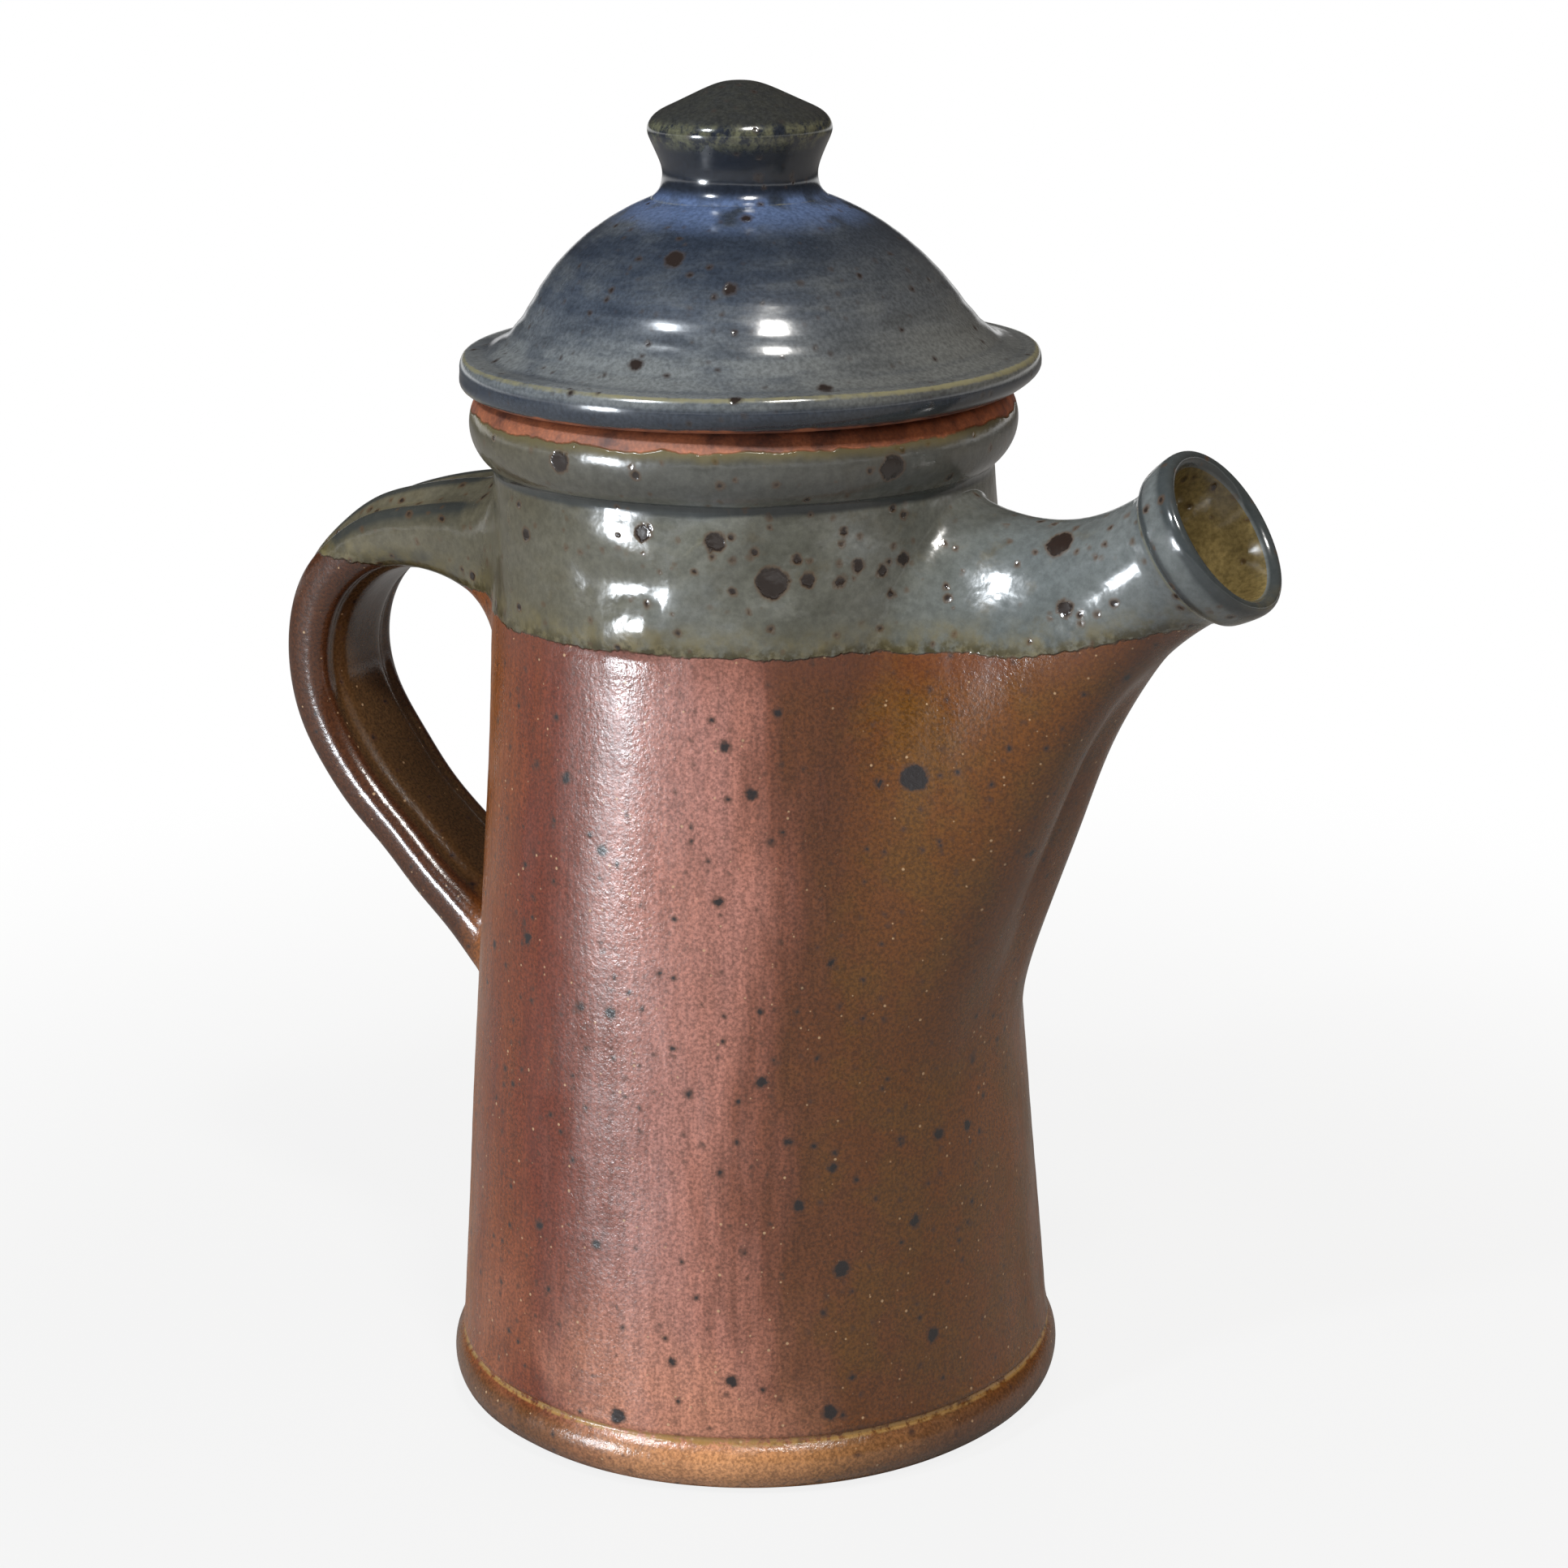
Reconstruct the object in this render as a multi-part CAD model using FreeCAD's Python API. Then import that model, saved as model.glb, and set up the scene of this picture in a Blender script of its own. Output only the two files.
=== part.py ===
import FreeCAD, Part
import math
import os

# Hand-thrown stoneware coffee pot, in millimetres.
# The origin is the centre of the flat base, +Z is up, the spout points along +X and the handle along -X.

# Mouth and neck of the pot
rim_height = 187.5
mouth_radius = 40.0
mouth_depth = 24.0
mouth_chamfer = 1.2
neck_wall = 4.1
rim_width = 6.6
collar_height = 13.0
collar_swell = 1.6
collar_belly_drop = 5.0

# Wall, foot and inside of the pot
wall_foot_radius = 55.3
wall_hollow = 0.6
wall_thickness = 5.0
bead_height = 9.6
bead_swell = 1.7
foot_tuck = 2.3
base_thickness = 7.0
inside_corner = 9.0

# Lid
lid_clearance = 0.8
skirt_depth = 14.0
skirt_thickness = 4.0
skirt_chamfer = 1.2
seat_overhang = 0.6
flange_overhang = 4.3
flange_belly_rise = 4.7
flange_edge_tuck = 0.7
flange_edge_rise = 1.7
flange_hollow = 0.4
dome_shoulder = 0.8
dome_foot_rise = 4.1
dome_rise = 25.1
lid_thickness = 5.0

# Lid knob, from the dome upwards
knob_foot_radius = 14.4
knob_neck_tuck = 1.0
knob_neck_rise = 3.4
knob_shoulder_swell = 0.2
knob_shoulder_rise = 3.6
knob_belly_swell = 1.5
knob_belly_rise = 4.0
knob_crown_tuck = 0.5
knob_crown_rise = 3.6
knob_top_rise = 4.6

# Spout, from its mouth back along its own axis
spout_overhang = 47.7
spout_drop = 17.1
spout_tilt = 33.5
lip_width = 2.8
lip_crest = 0.9
lip_roll = 1.6
lip_depth = 7.0
lip_neck_swell = 1.0
mouth_bore = 12.4
throat_bore = 9.0
throat_wall = 3.2
throat_length = 10.0
bore_hollow = 0.45

# Spout, where it spreads on to the wall
root_drop = 1.0
root_span = 109.5
root_half_width = 36.0
root_bury = 4.0
root_wall = 5.5
root_lead = 10.0
under_swell = 7.5
under_tuck = 29.0
over_swell = 12.0
over_tuck = 5.0
side_swell = 6.0
side_tuck = 7.0
port_radius = 15.0
port_drop = 48.5

# Handle
handle_drop = 21.5
handle_span = 79.0
handle_run = 22.0
handle_rise = 2.0
handle_stand = 47.1
handle_shoulder_in = 5.0
handle_shoulder_drop = 8.5
handle_reach_drop = 24.0
handle_knee_in = 15.7
handle_knee_rise = 26.0
strap_width = 25.0
strap_thickness = 12.8
strap_tail_thickness = 9.3
strap_ridge_depth = 0.5
strap_roundness = 0.75
handle_flare_width = 8.0
handle_flare_thickness = 18.0
tail_flare_thickness = 6.0
flare_span = 0.3

# Counts: ridges on the strap, spans of the wall's curve, sections of the lofts and points round each
strap_ridges = 3
wall_spans = 4
spout_stations = 7
handle_stations = 13
section_points = 48

# Radii and heights that follow
neck_radius = mouth_radius + neck_wall
rim_radius = mouth_radius + rim_width
neck_height = rim_height - collar_height
skirt_radius = mouth_radius - lid_clearance
dome_foot_radius = skirt_radius + dome_shoulder
dome_radius = (dome_foot_radius ** 2 + dome_rise ** 2) / (2 * dome_rise)
edge_height = rim_height + flange_belly_rise + flange_edge_rise
dome_foot_height = edge_height + dome_foot_rise
dome_centre_height = dome_foot_height + dome_rise - dome_radius
throat_radius = throat_bore + throat_wall
lip_radius = mouth_bore + lip_width
root_high = neck_height - root_drop
root_low = root_high - root_span
port_height = neck_height - port_drop
handle_top = neck_height - handle_drop
handle_bottom = handle_top - handle_span

# The spout's own axis and up normal, with its mouth and throat
across = FreeCAD.Vector(0, 1, 0)
spout_axis = FreeCAD.Vector(math.cos(math.radians(spout_tilt)), 0, math.sin(math.radians(spout_tilt)))
spout_up = spout_axis.cross(across)
mouth_centre = FreeCAD.Vector(neck_radius + spout_overhang, 0, rim_height - spout_drop)
throat_centre = mouth_centre - spout_axis * throat_length


def at(x, z):
    """Point in the XZ plane, where the outlines are drawn."""
    return FreeCAD.Vector(x, 0, z)


def line(start, end):
    return Part.LineSegment(start, end).toShape()


def arc(start, middle, end):
    return Part.Arc(start, middle, end).toShape()


def smooth(points):
    curve = Part.BSplineCurve()
    curve.interpolate(points)
    return curve.toShape()


def closed_section(points):
    curve = Part.BSplineCurve()
    curve.interpolate(Points=points, PeriodicFlag=True)
    return Part.Wire(curve.toShape())


def turned(edges):
    """Solid of revolution about Z from a closed outline in the XZ plane."""
    face = Part.Face(Part.Wire(edges))
    return face.revolve(at(0, 0), FreeCAD.Vector(0, 0, 1), 360)


def main_solid(shape):
    return max(shape.Solids, key=lambda solid: solid.Volume)


def bezier(ends, t):
    """Value at t on the cubic curve with these four controls, points or numbers."""
    first, second, third, fourth = ends
    s = 1 - t
    return first * s ** 3 + second * (3 * s * s * t) + third * (3 * s * t * t) + fourth * t ** 3


# The pot body

def wall_radius(height):
    """Outer radius of the tapered wall, which is slightly hollow between foot and neck."""
    t = (height - bead_height) / (neck_height - bead_height)
    straight = wall_foot_radius + (neck_radius - wall_foot_radius) * t
    return straight - wall_hollow * 4 * t * (1 - t)


def solid_pot():
    """The pot's outside filled solid, which also trims what is stuck on to it."""
    wall_rise = (neck_height - bead_height) / wall_spans
    wall_heights = [bead_height + wall_rise * span for span in range(wall_spans + 1)]
    foot = at(wall_foot_radius - foot_tuck, 0)
    bead = at(wall_foot_radius + bead_swell, bead_height / 2)
    crease = at(wall_foot_radius, bead_height)
    neck = at(neck_radius, neck_height)
    collar = at(rim_radius + collar_swell, rim_height - collar_belly_drop)
    rim = at(rim_radius, rim_height)
    return turned([
        line(at(0, 0), foot),
        arc(foot, bead, crease),
        smooth([at(wall_radius(height), height) for height in wall_heights]),
        arc(neck, collar, rim),
        line(rim, at(0, rim_height)),
        line(at(0, rim_height), at(0, 0)),
    ])


def pot_hollow():
    """Space inside the pot, from the floor to the chamfered edge of the mouth."""
    corner_height = base_thickness + inside_corner
    corner_radius = wall_radius(corner_height) - wall_thickness
    mouth_foot = rim_height - mouth_depth
    middle_height = (corner_height + mouth_foot) / 2
    floor_edge = at(corner_radius - inside_corner, base_thickness)
    corner_middle = at(corner_radius - inside_corner * (1 - math.sqrt(0.5)),
                       corner_height - inside_corner * math.sqrt(0.5))
    corner_top = at(corner_radius, corner_height)
    neck_foot = at(mouth_radius, mouth_foot)
    chamfer_foot = at(mouth_radius, rim_height - mouth_chamfer)
    chamfer_top = at(mouth_radius + mouth_chamfer, rim_height)
    return turned([
        line(at(0, base_thickness), floor_edge),
        arc(floor_edge, corner_middle, corner_top),
        smooth([corner_top, at(wall_radius(middle_height) - wall_thickness, middle_height), neck_foot]),
        line(neck_foot, chamfer_foot),
        line(chamfer_foot, chamfer_top),
        line(chamfer_top, at(0, rim_height)),
        line(at(0, rim_height), at(0, base_thickness)),
    ])


def spout_port():
    """Round hole through the wall, in line with the throat."""
    centre = at(wall_radius(port_height), port_height)
    way = (throat_centre - centre).normalize()
    half_length = port_radius + wall_thickness
    return Part.makeCylinder(port_radius, half_length * 2, centre - way * half_length, way)


def make_pot_body():
    return main_solid(solid_pot().cut(pot_hollow()).cut(spout_port()))


# The spout

def oval(centre, half_height, half_width):
    """Closed oval about a centre: a half height as a vector and a half width along Y."""
    turns = [2 * math.pi * i / section_points for i in range(section_points)]
    return closed_section([
        centre + half_height * math.cos(turn) + across * (half_width * math.sin(turn)) for turn in turns
    ])


def ring(back, radius):
    """Circle about the spout's axis, so far back from the mouth."""
    return oval(mouth_centre - spout_axis * back, spout_up * radius, radius)


def share_of(turn, over, side, under):
    """Value at a turn about the spout, from its values on top, at the sides and below."""
    end = over if math.cos(turn) > 0 else under
    return side + (end - side) * math.cos(turn) ** 2


def on_wall(turn, half_width, low, high, lift):
    """Point of an oval drawn on the wall, lifted off it by so much."""
    height = (low + high) / 2 + (high - low) / 2 * math.cos(turn)
    angle = half_width / wall_radius((low + high) / 2) * math.sin(turn)
    radius = wall_radius(height) + lift
    return FreeCAD.Vector(radius * math.cos(angle), radius * math.sin(angle), height)


def root_sections(bore, inset):
    """Sections from the throat to inside the wall: the outside with no inset, or the space within."""
    radius = throat_bore if bore else throat_radius
    half_width = root_half_width - inset
    low = root_low + inset
    high = root_high - inset
    tracks = []
    for i in range(section_points):
        turn = 2 * math.pi * i / section_points
        start = throat_centre + spout_up * (radius * math.cos(turn)) + across * (radius * math.sin(turn))
        swell = share_of(turn, over_swell, side_swell, under_swell) - inset
        foot = on_wall(turn, half_width - side_tuck, low + under_tuck, high - over_tuck, swell)
        end = on_wall(turn, half_width, low, high, -root_bury)
        tracks.append((start, start - spout_axis * root_lead, foot, end))
    steps = [station / (spout_stations - 1) for station in range(spout_stations)]
    sections = [closed_section([bezier(track, step) for track in tracks]) for step in steps]
    return sections + [root_end(half_width, low, high)]


def root_end(half_width, low, high):
    """Flat oval inside the wall that closes the root, before the pot trims it off."""
    middle = (low + high) / 2
    radius = wall_radius(middle) - root_bury
    side = radius * math.sin(half_width / wall_radius(middle))
    depth = math.sqrt(radius ** 2 - side ** 2) - root_bury
    return oval(at(depth, middle), at(0, (high - low) / 2 - root_bury), side - root_bury)


def spout_outside():
    crest_radius = (lip_radius + mouth_bore) / 2
    lip = [
        ring(-lip_crest, crest_radius),
        ring(lip_roll, lip_radius),
        ring(lip_depth, throat_radius + lip_neck_swell),
    ]
    return Part.makeLoft(lip + root_sections(False, 0), True, False)


def spout_passage():
    half_way = (mouth_bore + throat_bore) / 2 - bore_hollow
    flare = [
        ring(-2 * lip_crest, mouth_bore + lip_crest),
        ring(0, mouth_bore),
        ring(throat_length / 2, half_way),
    ]
    return Part.makeLoft(flare + root_sections(True, root_wall), True, False)


def make_spout():
    return main_solid(spout_outside().cut(spout_passage()).cut(solid_pot()))


# The handle

def handle_spine():
    """Middle line of the strap, from inside the wall at the top to inside the wall at the bottom."""
    reach = -wall_radius(handle_top) - handle_stand
    spine = Part.BSplineCurve()
    spine.interpolate([
        at(root_bury - wall_radius(handle_top), handle_top),
        at(-wall_radius(handle_top) - handle_run, handle_top + handle_rise),
        at(reach + handle_shoulder_in, handle_top - handle_shoulder_drop),
        at(reach, handle_top - handle_reach_drop),
        at(reach + handle_knee_in, handle_bottom + handle_knee_rise),
        at(root_bury - wall_radius(handle_bottom), handle_bottom),
    ])
    return spine


def strap_section(centre, along, width, thickness):
    """Rounded strap across the spine, with shallow ridges along both faces."""
    outward = along.cross(across)
    points = []
    for i in range(section_points):
        turn = 2 * math.pi * i / section_points
        side = math.copysign(abs(math.cos(turn)) ** strap_roundness, math.cos(turn))
        face = math.copysign(abs(math.sin(turn)) ** strap_roundness, math.sin(turn))
        ridge = strap_ridge_depth * math.cos(math.pi * strap_ridges * side) * abs(face)
        points.append(centre + across * (side * width / 2) + outward * (face * (thickness / 2 - ridge)))
    return closed_section(points)


def make_handle():
    spine = handle_spine()
    wires = []
    for station in range(handle_stations):
        share = station / (handle_stations - 1)
        parameter = spine.parameterAtDistance(spine.length() * share)
        root = max(0, 1 - share / flare_span) ** 2
        tail = max(0, 1 - (1 - share) / flare_span) ** 2
        width = strap_width + handle_flare_width * (root + tail / 2)
        thickness = strap_thickness + (strap_tail_thickness - strap_thickness) * share ** 2
        thickness += handle_flare_thickness * root + tail_flare_thickness * tail
        along = spine.tangent(parameter)[0]
        wires.append(strap_section(spine.value(parameter), along, width, thickness))
    return main_solid(Part.makeLoft(wires, True, False).cut(solid_pot()))


# The lid and its knob

def on_dome(radius, angle):
    """Point of a dome with this radius, an angle up from the horizontal."""
    return at(radius * math.cos(angle), dome_centre_height + radius * math.sin(angle))


def dome_edge(radius, foot_radius):
    """Arc of a dome from its foot to the lid's axis."""
    foot_angle = math.acos(foot_radius / radius)
    return arc(on_dome(radius, foot_angle),
               on_dome(radius, (foot_angle + math.pi / 2) / 2),
               on_dome(radius, math.pi / 2))


def solid_lid():
    """The lid's outside filled solid, with the skirt below the seat."""
    skirt_foot = rim_height - skirt_depth
    skirt_edge = at(skirt_radius - skirt_chamfer, skirt_foot)
    skirt_side = at(skirt_radius, skirt_foot + skirt_chamfer)
    seat_inner = at(skirt_radius, rim_height)
    seat_outer = at(rim_radius + seat_overhang, rim_height)
    belly = at(rim_radius + flange_overhang, rim_height + flange_belly_rise)
    edge = at(rim_radius + flange_overhang - flange_edge_tuck, edge_height)
    dome_foot = at(dome_foot_radius, dome_foot_height)
    flange_middle = (edge + dome_foot) * 0.5 - at(0, flange_hollow)
    dome = dome_edge(dome_radius, dome_foot_radius)
    return turned([
        line(at(0, skirt_foot), skirt_edge),
        line(skirt_edge, skirt_side),
        line(skirt_side, seat_inner),
        line(seat_inner, seat_outer),
        arc(seat_outer, belly, edge),
        arc(edge, flange_middle, dome_foot),
        dome,
        line(on_dome(dome_radius, math.pi / 2), at(0, skirt_foot)),
    ])


def lid_hollow():
    inner_radius = skirt_radius - skirt_thickness
    inner_dome = dome_radius - lid_thickness
    inner_foot = on_dome(inner_dome, math.acos(inner_radius / inner_dome))
    skirt_foot = rim_height - skirt_depth
    return turned([
        line(at(0, skirt_foot), at(inner_radius, skirt_foot)),
        line(at(inner_radius, skirt_foot), inner_foot),
        dome_edge(inner_dome, inner_radius),
        line(on_dome(inner_dome, math.pi / 2), at(0, skirt_foot)),
    ])


def make_lid():
    return main_solid(solid_lid().cut(lid_hollow()))


def make_lid_knob():
    """Knob thrown on to the dome, so its underside is the dome's own surface."""
    foot = on_dome(dome_radius, math.acos(knob_foot_radius / dome_radius))
    below = at(0, dome_centre_height)
    neck = foot + at(-knob_neck_tuck, knob_neck_rise)
    shoulder = at(knob_foot_radius + knob_shoulder_swell, neck.z + knob_shoulder_rise)
    belly = at(knob_foot_radius + knob_belly_swell, shoulder.z + knob_belly_rise)
    crown = at(knob_foot_radius - knob_crown_tuck, belly.z + knob_crown_rise)
    top = at(0, crown.z + knob_top_rise)
    crown_ball = (crown.x ** 2 + knob_top_rise ** 2) / (2 * knob_top_rise)
    on_crown = at(crown.x / 2, top.z - crown_ball + math.sqrt(crown_ball ** 2 - (crown.x / 2) ** 2))
    blank = turned([
        line(below, foot),
        arc(foot, neck, shoulder),
        arc(shoulder, belly, crown),
        arc(crown, on_crown, top),
        line(top, below),
    ])
    return main_solid(blank.cut(solid_lid()))


def main():
    os.makedirs("parts", exist_ok=True)
    pieces = {
        "pot_body": make_pot_body(),
        "spout": make_spout(),
        "handle": make_handle(),
        "lid": make_lid(),
        "lid_knob": make_lid_knob(),
    }
    for name, shape in pieces.items():
        shape.exportStep(os.path.join("parts", name + ".step"))
        print(name, "valid" if shape.isValid() else "INVALID", round(shape.Volume), "mm3")


main()
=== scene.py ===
"""Looks of a hand-thrown stoneware coffee pot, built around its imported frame.

Lengths are millimetres in the frame's axes until a mesh is written: +Z is up, the spout points along +X and the
handle along -X. Azimuths are degrees about +Z, from 0 towards -Y to 90 towards the spout.
"""
import logging
import math
from dataclasses import dataclass, field
from enum import Enum
from functools import reduce

import bmesh
import bpy
import numpy as np
from mathutils import Matrix, Vector


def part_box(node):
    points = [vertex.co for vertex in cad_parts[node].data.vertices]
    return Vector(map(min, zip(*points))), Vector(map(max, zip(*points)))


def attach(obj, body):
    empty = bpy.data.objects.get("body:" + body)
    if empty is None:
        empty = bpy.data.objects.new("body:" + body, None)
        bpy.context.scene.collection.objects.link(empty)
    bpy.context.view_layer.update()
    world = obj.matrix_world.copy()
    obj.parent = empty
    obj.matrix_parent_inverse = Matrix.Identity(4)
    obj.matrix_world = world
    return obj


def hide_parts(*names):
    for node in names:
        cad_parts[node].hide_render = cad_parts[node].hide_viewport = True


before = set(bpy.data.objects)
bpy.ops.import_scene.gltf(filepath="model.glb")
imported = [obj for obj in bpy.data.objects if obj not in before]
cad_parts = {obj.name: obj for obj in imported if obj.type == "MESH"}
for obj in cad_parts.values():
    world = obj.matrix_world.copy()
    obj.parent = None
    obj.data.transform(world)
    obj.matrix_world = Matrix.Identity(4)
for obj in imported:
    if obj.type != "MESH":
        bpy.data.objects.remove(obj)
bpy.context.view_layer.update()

Array = np.ndarray
Colour = tuple[float, float, float]
Span = tuple[float, float]
Socket = bpy.types.NodeSocket
Material = bpy.types.Material
Piece = bpy.types.Object

MM = 0.001
GLASS_IOR = 1.7
ARC_POINTS = 33
SPLINE_FINENESS = 8
OUTLINE_FINENESS = 0.1
log = logging.getLogger("coffee_pot")


class Body(Enum):
    """Moving bodies of the frame that pieces ride on."""

    POT = "pot"
    LID = "lid"


class Slot(Enum):
    """Material slots of the record."""

    STONEWARE = "two_tone_stoneware"
    ASH = "ash_glaze"


class Zone(Enum):
    """Side of a piece, which picks one of its materials."""

    OUTSIDE = 0
    INSIDE = 1


def smooth_rise(value: Array, start: float, end: float) -> Array:
    """Smooth step from 0 at start to 1 at end."""
    t = np.clip((value - start) / (end - start), 0.0, 1.0)
    return t * t * (3.0 - 2.0 * t)


def around(azimuth: Array, radius: Array, height: Array) -> Array:
    """Points about the pot's axis.

    Args:
        azimuth: Degrees from -Y towards the spout.
        radius: Distance from the axis.
        height: Height above the base.

    Returns:
        Array of points, one for each entry of the broadcast inputs.
    """
    azimuth, radius, height = np.broadcast_arrays(azimuth, radius, height)
    turn = np.radians(azimuth)
    return np.stack([radius * np.sin(turn), -radius * np.cos(turn), height], axis=-1)


def azimuth_of(points: Array) -> Array:
    """Azimuth of points, in degrees."""
    return np.degrees(np.arctan2(points[..., 0], -points[..., 1]))


def reach_of(points: Array) -> Array:
    """Distance of points from the pot's axis."""
    return np.hypot(points[..., 0], points[..., 1])


def arc(start: tuple[float, float], middle: tuple[float, float], end: tuple[float, float]) -> Array:
    """Points of the circle arc through three points of an outline.

    Args:
        start: First radius and height.
        middle: A point that the arc passes.
        end: Last radius and height.

    Returns:
        Points along the arc, ends included.
    """
    a, b, c = (complex(*p) for p in (start, middle, end))
    w = (c - a) / (b - a)
    centre = (b - a) * (w - abs(w) ** 2) / (2j * w.imag) + a
    first, way, last = (np.angle(p - centre) for p in (a, b, c))
    sweep = (last - first) % math.tau
    if (way - first) % math.tau > sweep:
        sweep -= math.tau
    circle = centre + abs(a - centre) * np.exp(1j * (first + sweep * np.linspace(0, 1, ARC_POINTS)))
    return np.stack([circle.real, circle.imag], axis=-1)


def spline(points: Array, steps: int) -> Array:
    """Natural cubic curve through points, spaced by their chords.

    Args:
        points: The points to pass, one per row.
        steps: Number of points to return.

    Returns:
        Points evenly spaced along the curve.
    """
    knots = np.concatenate([[0.0], np.cumsum(np.linalg.norm(np.diff(points, axis=0), axis=1))])
    gaps = np.diff(knots)
    count = len(points)
    system, bends = np.eye(count), np.zeros_like(points)
    for i in range(1, count - 1):
        system[i, i - 1:i + 2] = gaps[i - 1], 2 * (gaps[i - 1] + gaps[i]), gaps[i]
        bends[i] = 6 * ((points[i + 1] - points[i]) / gaps[i] - (points[i] - points[i - 1]) / gaps[i - 1])
    second = np.linalg.solve(system, bends)
    dense = np.linspace(0.0, knots[-1], steps * SPLINE_FINENESS)
    i = np.clip(np.searchsorted(knots, dense, side="right") - 1, 0, count - 2)
    gap, t = gaps[i][:, None], (dense - knots[i])[:, None]
    slope = (points[i + 1] - points[i]) / gap - gap * (2 * second[i] + second[i + 1]) / 6
    curve = points[i] + slope * t + second[i] * t ** 2 / 2 + (second[i + 1] - second[i]) * t ** 3 / (6 * gap)
    return evenly(curve, steps)


def evenly(points: Array, steps: int) -> Array:
    """Points spaced evenly along a line of points.

    Args:
        points: The line, one point per row.
        steps: Number of points to return.

    Returns:
        The points, both ends included.
    """
    run = np.concatenate([[0.0], np.cumsum(np.linalg.norm(np.diff(points, axis=0), axis=1))])
    places = np.linspace(0.0, run[-1], steps)
    return np.stack([np.interp(places, run, column) for column in points.T], axis=-1)


@dataclass(frozen=True)
class Wander:
    """Smooth unevenness of hand work: a field in space made of waves with seeded directions.

    Attributes:
        size: Typical width of a swell.
        height: Typical height of a swell.
        seed: Seed of the waves.
        waves: Number of waves.
        widths: Least and greatest width of a wave, as multiples of the size.
    """

    size: float
    height: float
    seed: int
    waves: int = 16
    widths: Span = (0.6, 1.6)

    def at(self, points: Array) -> Array:
        """Height of the field.

        Args:
            points: Points in space.

        Returns:
            Its height at each point.
        """
        chance = np.random.default_rng(self.seed)
        ways = chance.normal(size=(self.waves, 3))
        ways /= np.linalg.norm(ways, axis=1)[:, None]
        pitches = math.pi / (self.size * chance.uniform(*self.widths, self.waves))
        phases = chance.uniform(0.0, math.tau, self.waves)
        total = np.zeros(points.shape[:-1])
        for way, pitch, phase in zip(ways, pitches, phases):
            total += np.sin(points @ way * pitch + phase)
        return total * self.height / math.sqrt(self.waves / 2)


@dataclass(frozen=True)
class Stroke:
    """Straight mark left on the wet wall: a ridge, or a groove where the rise is negative.

    Attributes:
        start: Azimuth and height of one end.
        end: Azimuth and height of the other end.
        width: Half width on the left of the mark.
        rise: Height of the ridge.
        lean: Half width on the right, as a multiple of the left one.
        taper: Shares of its length between which each end fades in.
    """

    start: Span
    end: Span
    width: float
    rise: float
    lean: float = 1.0
    taper: Span = (-0.12, 0.18)

    def relief(self, azimuth: Array, height: Array, radius: float) -> Array:
        """Height of the mark on the unrolled wall.

        Args:
            azimuth: Azimuth of each point.
            height: Height of each point.
            radius: Radius that the wall is unrolled at.

        Returns:
            The mark's height at each point.
        """
        arm = math.radians(radius)
        run = np.array([(self.end[0] - self.start[0]) * arm, self.end[1] - self.start[1]])
        length = np.linalg.norm(run)
        dx = ((azimuth - self.start[0] + 180.0) % 360.0 - 180.0) * arm
        dz = height - self.start[1]
        along = (dx * run[0] + dz * run[1]) / length ** 2
        across = (dx * run[1] - dz * run[0]) / length
        width = np.where(across > 0.0, self.width * self.lean, self.width)
        ends = smooth_rise(along, *self.taper) * smooth_rise(1.0 - along, *self.taper)
        return self.rise * np.exp(-(across / width) ** 2) * ends


@dataclass(frozen=True)
class IronSpot:
    """Iron spot that bled through the glaze.

    Attributes:
        azimuth: Azimuth of its middle.
        height: Height of its middle.
        radius: Its radius.
        reach: Distance of its middle from the pot's axis, or None on the wall.
    """

    azimuth: float
    height: float
    radius: float
    reach: float | None = None

    def at(self, reach: float) -> Array:
        """Middle and radius as four numbers, at a distance from the pot's axis."""
        return np.append(around(self.azimuth, reach, self.height), self.radius)


@dataclass(frozen=True)
class Scatter:
    """Small iron spots thrown by a seed over a patch of the wall.

    Attributes:
        count: Number of spots.
        azimuths: Lowest and highest azimuth.
        heights: Lowest and highest height.
        radii: Smallest and largest radius.
        seed: Seed of the places.
    """

    count: int
    azimuths: Span
    heights: Span
    radii: Span
    seed: int

    def spots(self) -> tuple[IronSpot, ...]:
        """Spots at an even chance over the patch.

        Returns:
            The spots.
        """
        chance = np.random.default_rng(self.seed)
        low, high = zip(self.azimuths, self.heights, self.radii)
        return tuple(IronSpot(*place) for place in chance.uniform(low, high, (self.count, 3)))


@dataclass(frozen=True)
class Run:
    """Stretch of a turned outline.

    Attributes:
        points: Radius and height along it.
        spacing: Distance between the mesh's rows on it.
        zone: Side of the piece that it lies on.
    """

    points: Array
    spacing: float
    zone: Zone = Zone.OUTSIDE


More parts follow.
